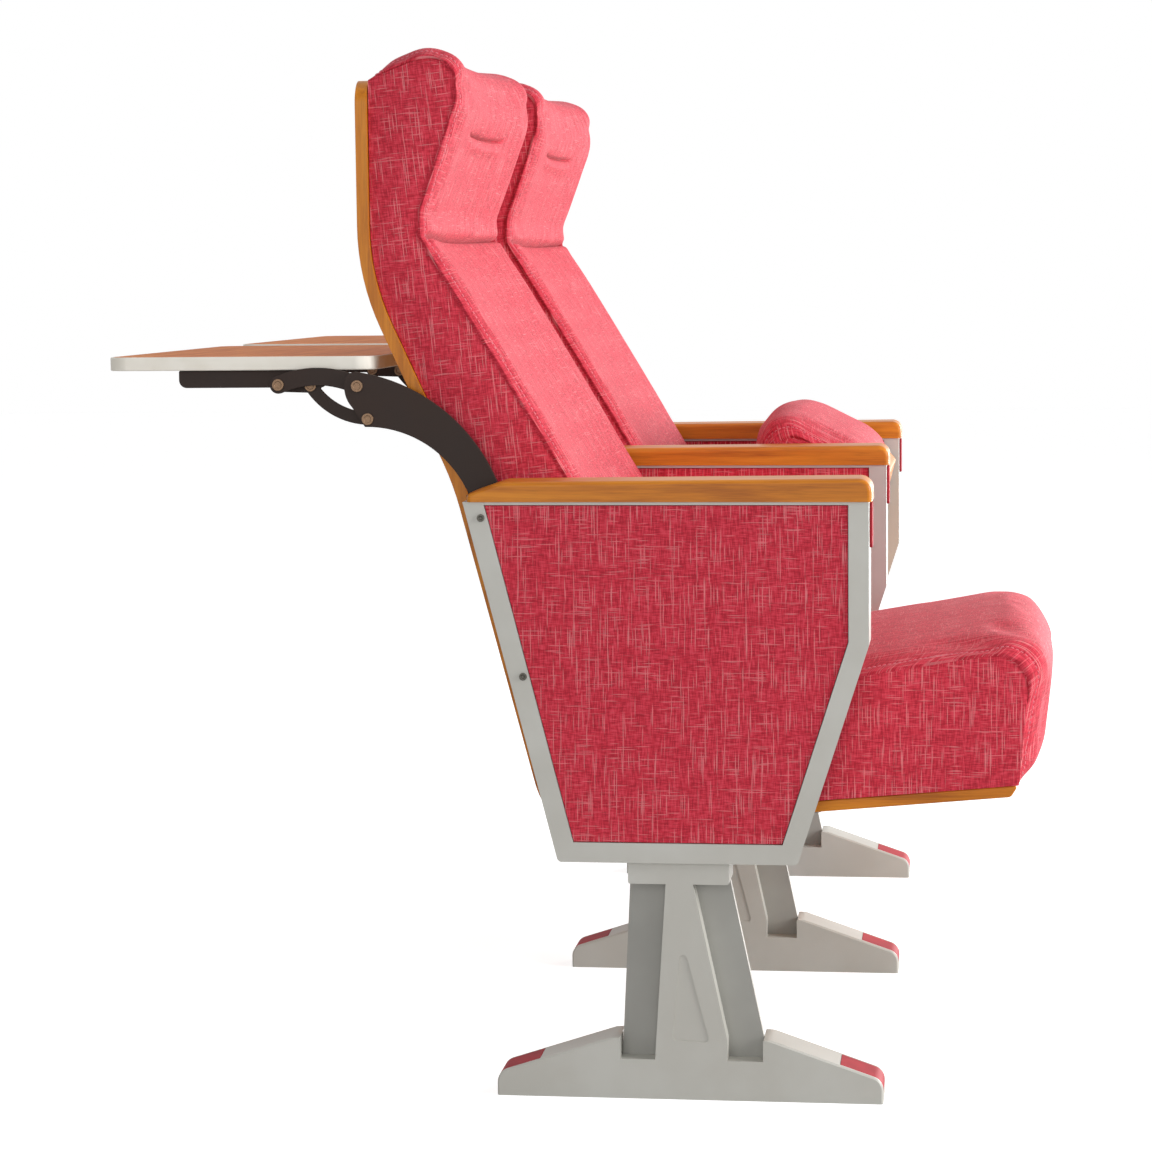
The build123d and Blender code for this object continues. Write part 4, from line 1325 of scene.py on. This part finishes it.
@dataclass
class BackPad:
    """The back's upholstery: lumbar run, sewn crease and a headrest with ears, in millimetres.

    The tuck in the headrest is a slit between two full lips. Each of its mounds is a height, a middle
    above the tuck and a half width. The faces within tuck_margin of its ends and tuck_rows of its
    height are made finer, and past tuck_fade nothing moves.
    """

    seat: Seat
    half_width: float = 240.0
    roll: float = 36.0
    weave_shift: float = 90.0
    tuck_height: float = 976.0
    tuck_half: float = 100.0
    tuck_margin: float = 12.0
    tuck_rows: float = 16.0
    tuck_fade: float = 45.0
    tuck_sag: float = 1.2
    tuck_end: float = 18.0
    tuck_pinch: Point = (0.45, 6.0)
    headrest_rear: float = -275.0
    slits: tuple[Corner, ...] = ((9.5, 0.0, 2.4), (2.2, 0.0, 10.0))
    lips: tuple[Corner, ...] = ((0.6, 10.0, 6.0), (3.8, -11.0, 6.5))

    def build(self) -> Piece:
        """Builds the back cushion on its shell.

        Returns:
            The cushion.
        """
        key = self.seat.value
        face = Outline([(-188.6, 455.0, 0), (-60.0, 455.0, 30), (-60.0, 527.0, 60), (-266.0, 871.0, 6),
                        (-266.0, 893.0, 30), (-226.5, 1003.0, 60), (-227.0, 1052.0, 24),
                        (-268.0, 1064.5, 40), (-304.0, 1049.5, 40), (-327.0, 1026.6, 0)])
        base = Outline([(-188.6, 455.0, 0), (-232.0, 620.2, 312.3), (-326.9, 827.7, 237.7),
                        (-327.0, 1026.6, 0)])
        return Upholstery(
            name=f"back_pad_{key}", node=f"back_cushion_{key}", body="row", face=face, base=base,
            draws=[0.0, 12.0, 12.0, 12.0, 12.0, 12.0, 15.0, 13.0, 9.0],
            swells=[0.0, -14.0, -14.0, -14.0, -14.0, -14.0, -7.0, -5.0, -3.0], half_width=self.half_width,
            roll=self.roll, centre=self.seat.centre / MM, crease=2, side_lean=6.0, pressure=2.0, cap=4.5,
            weave_shift=self.weave_shift if self.seat is Seat.LEFT else 0.0, after=self.tuck,
        ).build()

    def tuck(self, shape: Upholstery, piece: Piece) -> None:
        """Draws a short slit of a tuck into the middle of the headrest, with the cover full below it.

        Args:
            shape: The cushion's sizes.
            piece: The cushion before it is tipped.
        """
        activate(piece)
        bpy.ops.object.mode_set(mode="EDIT")
        reach = (self.tuck_half + self.tuck_margin) * MM
        high = self.tuck_rows * MM

        def wanted(face: bmesh.types.BMFace) -> bool:
            """Whether a face is one that the tuck draws in.

            Args:
                face: A face of the cushion.

            Returns:
                True on the front of the headrest, round the tuck.
            """
            x, y, z = face.calc_center_median()
            return (x > self.headrest_rear * MM and face.normal.x > 0.5
                    and abs(z - self.tuck_height * MM) < high and abs(y - shape.centre * MM) < reach)

        select_faces(piece, wanted)
        bpy.ops.mesh.subdivide(number_cuts=2)
        bpy.ops.object.mode_set(mode="OBJECT")
        for vert in piece.data.vertices:
            x, y, z = (v / MM for v in vert.co)
            if x < self.headrest_rear or abs(z - self.tuck_height) > self.tuck_fade:
                continue
            across = abs(y - shape.centre) / self.tuck_half
            rise = z - self.tuck_height - self.tuck_sag * across * across
            ends = 1 / (1 + math.exp((across - 1) * self.tuck_end))
            slit = sum(mound(rise, *one) for one in self.slits)
            lips = sum(mound(rise, *one) for one in self.lips)
            vert.co.x -= (slit - lips) * ends * MM
            vert.co.z -= mound(rise, self.tuck_pinch[0] * rise, 0.0, self.tuck_pinch[1]) * ends * MM


# Standards, backs, seats and tablets


@dataclass
class StandardDress:
    """Finishes one standard: casting, side frame, panels, armrest. Edge widths are in millimetres."""

    standard: Standard
    foot_edge: float = 0.9
    stem_edge: float = 1.2
    frame_edge: float = 0.7
    panel_edge: float = 1.8
    rest_edge: float = 0.8
    # Faces nearer than this to the stem's middle, in millimetres, take the painted recess shade
    recess_reach: float = 8.0

    def build(self) -> None:
        """Dresses every piece of the standard."""
        key = self.standard.value
        dress_node(f"foot_{key}", f"foot_casting_{key}", self.foot_edge, CAST_COAT, "row", "casting_paint",
                   work_on=split_hollow_faces)
        self.build_stem(key)
        dress_node(f"side_frame_{key}", f"folded_frame_{key}", self.frame_edge, FRAME_COAT, "row",
                   "frame_paint")
        panels = eased(f"side_panels_{key}", f"cloth_panels_{key}", self.panel_edge, segments=3)
        cloth_map(panels)
        dress(panels, CRIMSON, "row", [f"side_panels_{key}"])
        dress_node(f"armrest_{key}", f"wooden_armrest_{key}", self.rest_edge, GOLDEN, "row",
                   "lacquered_wood", angle=50.0)

    def build_stem(self, key: str) -> None:
        """Dresses the stem, with painted shade in its recesses: a darker coat there.

        Args:
            key: The standard's name.
        """
        stem = dress_node(f"stem_{key}", f"stem_casting_{key}", self.stem_edge, CAST_COAT, "row",
                          "casting_paint", work_on=split_hollow_faces)
        # Painted shade: the faces in the stem's recesses take a darker grey coat
        stem.data.materials.append(RECESS_SHADE_COAT.material())
        for face in stem.data.polygons:
            reach = abs(face.center.y - self.standard.centre)
            if abs(face.normal.y) > FLAT and reach < self.recess_reach * MM:
                face.material_index = 1


@dataclass
class BackDress:
    """Finishes the plywood shell behind a back."""

    seat: Seat
    shell_edge: float = 1.6

    def build(self) -> None:
        """Dresses the shell."""
        key = self.seat.value
        dress_node(f"back_shell_{key}", f"ply_shell_{key}", self.shell_edge, SHELL_PLY, "row",
                   "lacquered_wood", segments=3, angle=60.0)


@dataclass
class SeatDress:
    """Finishes the board under a seat and drives its screws, in millimetres."""

    seat: Seat
    board_edge: float = 1.6
    thickness: float = 12.0
    screw_x: tuple[float, float] = (-20.0, 125.0)
    screw_y: float = 232.0
    head: float = 4.4
    head_rise: float = 2.2
    head_round: float = 0.9
    head_sides: int = 24
    socket: float = 1.9
    socket_depth: float = 1.5

    def build(self) -> None:
        """Dresses the seat board."""
        key = self.seat.value
        dress_node(f"seat_board_{key}", f"ply_board_{key}", self.board_edge, GOLDEN, f"seat_{key}",
                   "lacquered_wood", segments=3, angle=60.0)
        self.drive_screws(key)

    def model_screw(self) -> Piece:
        """Turns one pan head with a hexagon socket, looking down from the origin.

        Returns:
            The screw head.
        """
        deselect()
        bpy.ops.mesh.primitive_cylinder_add(vertices=self.head_sides, radius=self.head * MM,
                                            depth=self.head_rise * MM,
                                            location=(0, 0, -self.head_rise / 2 * MM))
        screw = bpy.context.view_layer.objects.active
        bpy.ops.object.transform_apply(location=True)
        bpy.ops.object.mode_set(mode="EDIT")
        select_faces(screw, lambda f: f.normal.z < -FLAT)
        bpy.ops.mesh.bevel(offset=self.head_round * MM, segments=3, affect="EDGES")
        bpy.ops.object.mode_set(mode="OBJECT")
        bpy.ops.mesh.primitive_cylinder_add(vertices=6, radius=self.socket * MM,
                                            depth=2 * self.socket_depth * MM,
                                            location=(0, 0, -self.head_rise * MM))
        cutter = bpy.context.view_layer.objects.active
        socket = screw.modifiers.new("socket", "BOOLEAN")
        socket.object = cutter
        apply_all(screw)
        bpy.data.objects.remove(cutter)
        return screw

    def drive_screws(self, key: str) -> None:
        """Copies the screw to its places under the board and joins the copies.

        Args:
            key: The seat's name.
        """
        screw = self.model_screw()
        lean = Matrix.Rotation(-math.atan(BOARD_SLOPE), 4, "Y")
        heads = []
        for x in self.screw_x:
            for side in (-1, 1):
                y = self.seat.centre / MM + side * self.screw_y
                place = Vector((x, y, board_top(x) - self.thickness)) * MM
                head = new_piece("head", screw.data.copy())
                head.data.transform(tipped(self.seat.tip) @ Matrix.Translation(place) @ lean)
                heads.append(head)
        bpy.data.objects.remove(screw)
        activate(heads[0])
        for head in heads:
            head.select_set(True)
        bpy.ops.object.join()
        joined = bpy.context.view_layer.objects.active
        joined.name = f"board_screws_{key}"
        smooth(joined)
        dress(joined, ZINC, f"seat_{key}")


@dataclass
class TabletDress:
    """Finishes a writing tablet and its linkage. Edge widths are in millimetres."""

    seat: Seat
    metal_edge: float = 0.5
    rivet_edge: float = 0.55
    band_edge: float = 2.6

    def build(self) -> None:
        """Dresses the tablet's dark metalwork, its rivets and its edge band."""
        key = self.seat.value
        for node, body in (("tablet_arms_", "row"), ("upper_links_", "upper_links_" + key),
                           ("lower_links_", "lower_links_" + key), ("tablet_rails_", "tablet_" + key)):
            dress_node(node + key, "enamelled_" + node + key, self.metal_edge, DARK_COAT, body, "dark_paint")
        dish = spun_heads(depth=0.5, rim=2.2, least=5.5, most=6.5)
        for node, body in (("arm_rivets_", "row"), ("rail_rivets_", "tablet_" + key)):
            dress_node(node + key, "spun_" + node + key, self.rivet_edge, BRONZE, body, "bronze_steel",
                       segments=3, work_on=dish)
        dress_node("tablet_edge_" + key, "edge_band_" + key, self.band_edge, EDGE_BAND, "tablet_" + key,
                   "edge_plastic", segments=5, angle=60.0)


@dataclass
class SharedDress:
    """Finishes the small pieces that all standards share. Edge widths are in millimetres."""

    cap_edge: float = 0.5
    strip_edge: float = 1.0
    bolt_edge: float = 0.4

    def build(self) -> None:
        """Dresses the foot caps, the front strips and the frame bolts."""
        dress_node("foot_caps", "moulded_foot_caps", self.cap_edge, RED_CAP, "row", "red_plastic")
        dress_node("front_strips", "moulded_front_strips", self.strip_edge, RED_CAP, "row", "red_plastic",
                   segments=3)
        socket = spun_heads(depth=1.1, rim=1.7, least=3.4, most=4.2)
        dress_node("frame_bolts", "socket_frame_bolts", self.bolt_edge, BLACK_ZINC, "row", "zinc_steel",
                   segments=3, work_on=socket)


CARRIED_OVER: dict[str, Finish] = {
    "bracket_bolts_": ZINC, "pivot_bushes_": NYLON, "stop_sleeves_": BUFFER, "return_springs_": ZINC,
    "tablet_board_": TABLET_TOP, "back_brackets_": DARK_COAT, "seat_frame_": DARK_COAT, "pivot_pins_": ZINC,
}


def finish_nodes(nodes: dict[str, Piece]) -> None:
    """Gives each CAD node that stays its finish.

    Args:
        nodes: The CAD nodes by name.
    """
    for name, node in nodes.items():
        for start, finish in CARRIED_OVER.items():
            if name.startswith(start):
                node.data.materials.clear()
                node.data.materials.append(finish.material())


# Studio


@dataclass(frozen=True)
class SoftBox:
    """A square soft light: its place and its target in metres, its side in metres, its power in watts."""

    name: str
    place: Corner
    target: Corner
    size: float
    power: float

    def hang(self) -> None:
        """Hangs the light and points it at its target."""
        data = bpy.data.lights.new(self.name, "AREA")
        data.size = self.size
        data.energy = self.power
        light = bpy.data.objects.new(self.name, data)
        light.location = self.place
        light.rotation_mode = "QUATERNION"
        light.rotation_quaternion = (Vector(self.target) - Vector(self.place)).to_track_quat("-Z", "Y")
        bpy.context.scene.collection.objects.link(light)


LIGHTS = (
    SoftBox("key", (3.5, -1.0, 1.5), (0.0, 0.0, 0.6), 1.8, 132.0),
    SoftBox("window", (2.3, 3.3, 0.95), (0.0, 0.0, 0.75), 1.7, 125.0),
    SoftBox("fill", (-0.4, -4.6, 1.3), (-0.1, 0.0, 0.5), 3.0, 52.0),
    SoftBox("top", (0.4, -0.3, 4.0), (0.0, 0.0, 0.5), 2.5, 18.0),
    SoftBox("back", (-3.4, 2.0, 2.4), (-0.1, 0.0, 0.7), 2.0, 14.0),
)


@dataclass
class Studio:
    """Pale floor, soft lights and the camera. Angles are in degrees and lengths in metres."""

    lens_mm: float = 95.74
    sensor_mm: float = 36.0
    clip: Point = (0.05, 100.0)
    eye: Corner = (0.28635, -3.6130, 0.82771)
    yaw: float = -7.496
    pitch: float = 5.607
    roll: float = -0.573
    world_light: float = 0.3
    floor_side: float = 30.0
    floor_grey: float = 0.6
    floor_glow: float = 0.75

    def build(self) -> None:
        """Sets the whole studio up."""
        self.build_camera()
        for light in LIGHTS:
            light.hang()
        self.build_world()
        self.build_floor()

    def build_camera(self) -> None:
        """Stands the camera where the view was taken from."""
        data = bpy.data.cameras.new("camera")
        data.lens = self.lens_mm
        data.sensor_width = self.sensor_mm
        data.clip_start, data.clip_end = self.clip
        yaw, pitch, roll = (math.radians(v) for v in (self.yaw, self.pitch, self.roll))
        ahead = Vector((math.sin(yaw) * math.cos(pitch), math.cos(yaw) * math.cos(pitch), -math.sin(pitch)))
        level = Vector((math.cos(yaw), -math.sin(yaw), 0))
        plumb = level.cross(ahead)
        right = level * math.cos(roll) + plumb * math.sin(roll)
        up = plumb * math.cos(roll) - level * math.sin(roll)
        camera = bpy.data.objects.new("camera", data)
        turn = Matrix((right, up, -ahead)).transposed().to_4x4()
        camera.matrix_world = Matrix.Translation(self.eye) @ turn
        bpy.context.scene.collection.objects.link(camera)
        bpy.context.scene.camera = camera

    def build_world(self) -> None:
        """Pale surroundings that look white to the camera and in reflections."""
        world = bpy.data.worlds.new("surroundings")
        world.use_nodes = True
        tree = world.node_tree
        tree.nodes.clear()
        path = add(tree, "ShaderNodeLightPath").outputs
        seen = add(tree, "ShaderNodeMath", {0: path["Is Camera Ray"], 1: path["Is Glossy Ray"]},
                   operation="MAXIMUM")
        glow = add(tree, "ShaderNodeMapRange", {
            "Value": seen.outputs[0], "To Min": self.world_light, "To Max": 1.0})
        ground = add(tree, "ShaderNodeBackground", {"Color": (1, 1, 1, 1), "Strength": glow.outputs[0]})
        add(tree, "ShaderNodeOutputWorld", {"Surface": ground.outputs[0]})
        bpy.context.scene.world = world
        bpy.context.scene.view_settings.view_transform = "Standard"

    def build_floor(self) -> None:
        """Lays a floor that looks white to the camera and keeps the row's soft shadow."""
        deselect()
        bpy.ops.mesh.primitive_plane_add(size=self.floor_side, location=(0, 0, 0))
        floor = bpy.context.view_layer.objects.active
        floor.name = "studio_floor"
        material = bpy.data.materials.new("studio_floor")
        material.use_nodes = True
        tree = material.node_tree
        tree.nodes.clear()
        path = add(tree, "ShaderNodeLightPath")
        glow = add(tree, "ShaderNodeMath", {0: path.outputs["Is Camera Ray"], 1: self.floor_glow},
                   operation="MULTIPLY")
        grey = self.floor_grey
        shader = add(tree, "ShaderNodeBsdfPrincipled", {
            "Base Color": (grey, grey, grey, 1), "Roughness": 0.9, "Emission Color": (1, 1, 1, 1),
            "Emission Strength": glow.outputs[0]})
        add(tree, "ShaderNodeOutputMaterial", {"Surface": shader.outputs[0]})
        floor.data.materials.append(material)


def main() -> None:
    """Builds and dresses the row."""
    logging.basicConfig(level=logging.INFO, format="%(name)s %(message)s")
    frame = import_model()
    Studio().build()
    finish_nodes(frame["nodes"])
    SharedDress().build()
    for standard in Standard:
        StandardDress(standard).build()
    for seat in Seat:
        BackDress(seat).build()
        SeatDress(seat).build()
        TabletDress(seat).build()
        BackPad(seat).build()
        SeatPad(seat).build()


if __name__ == "__main__":
    main()
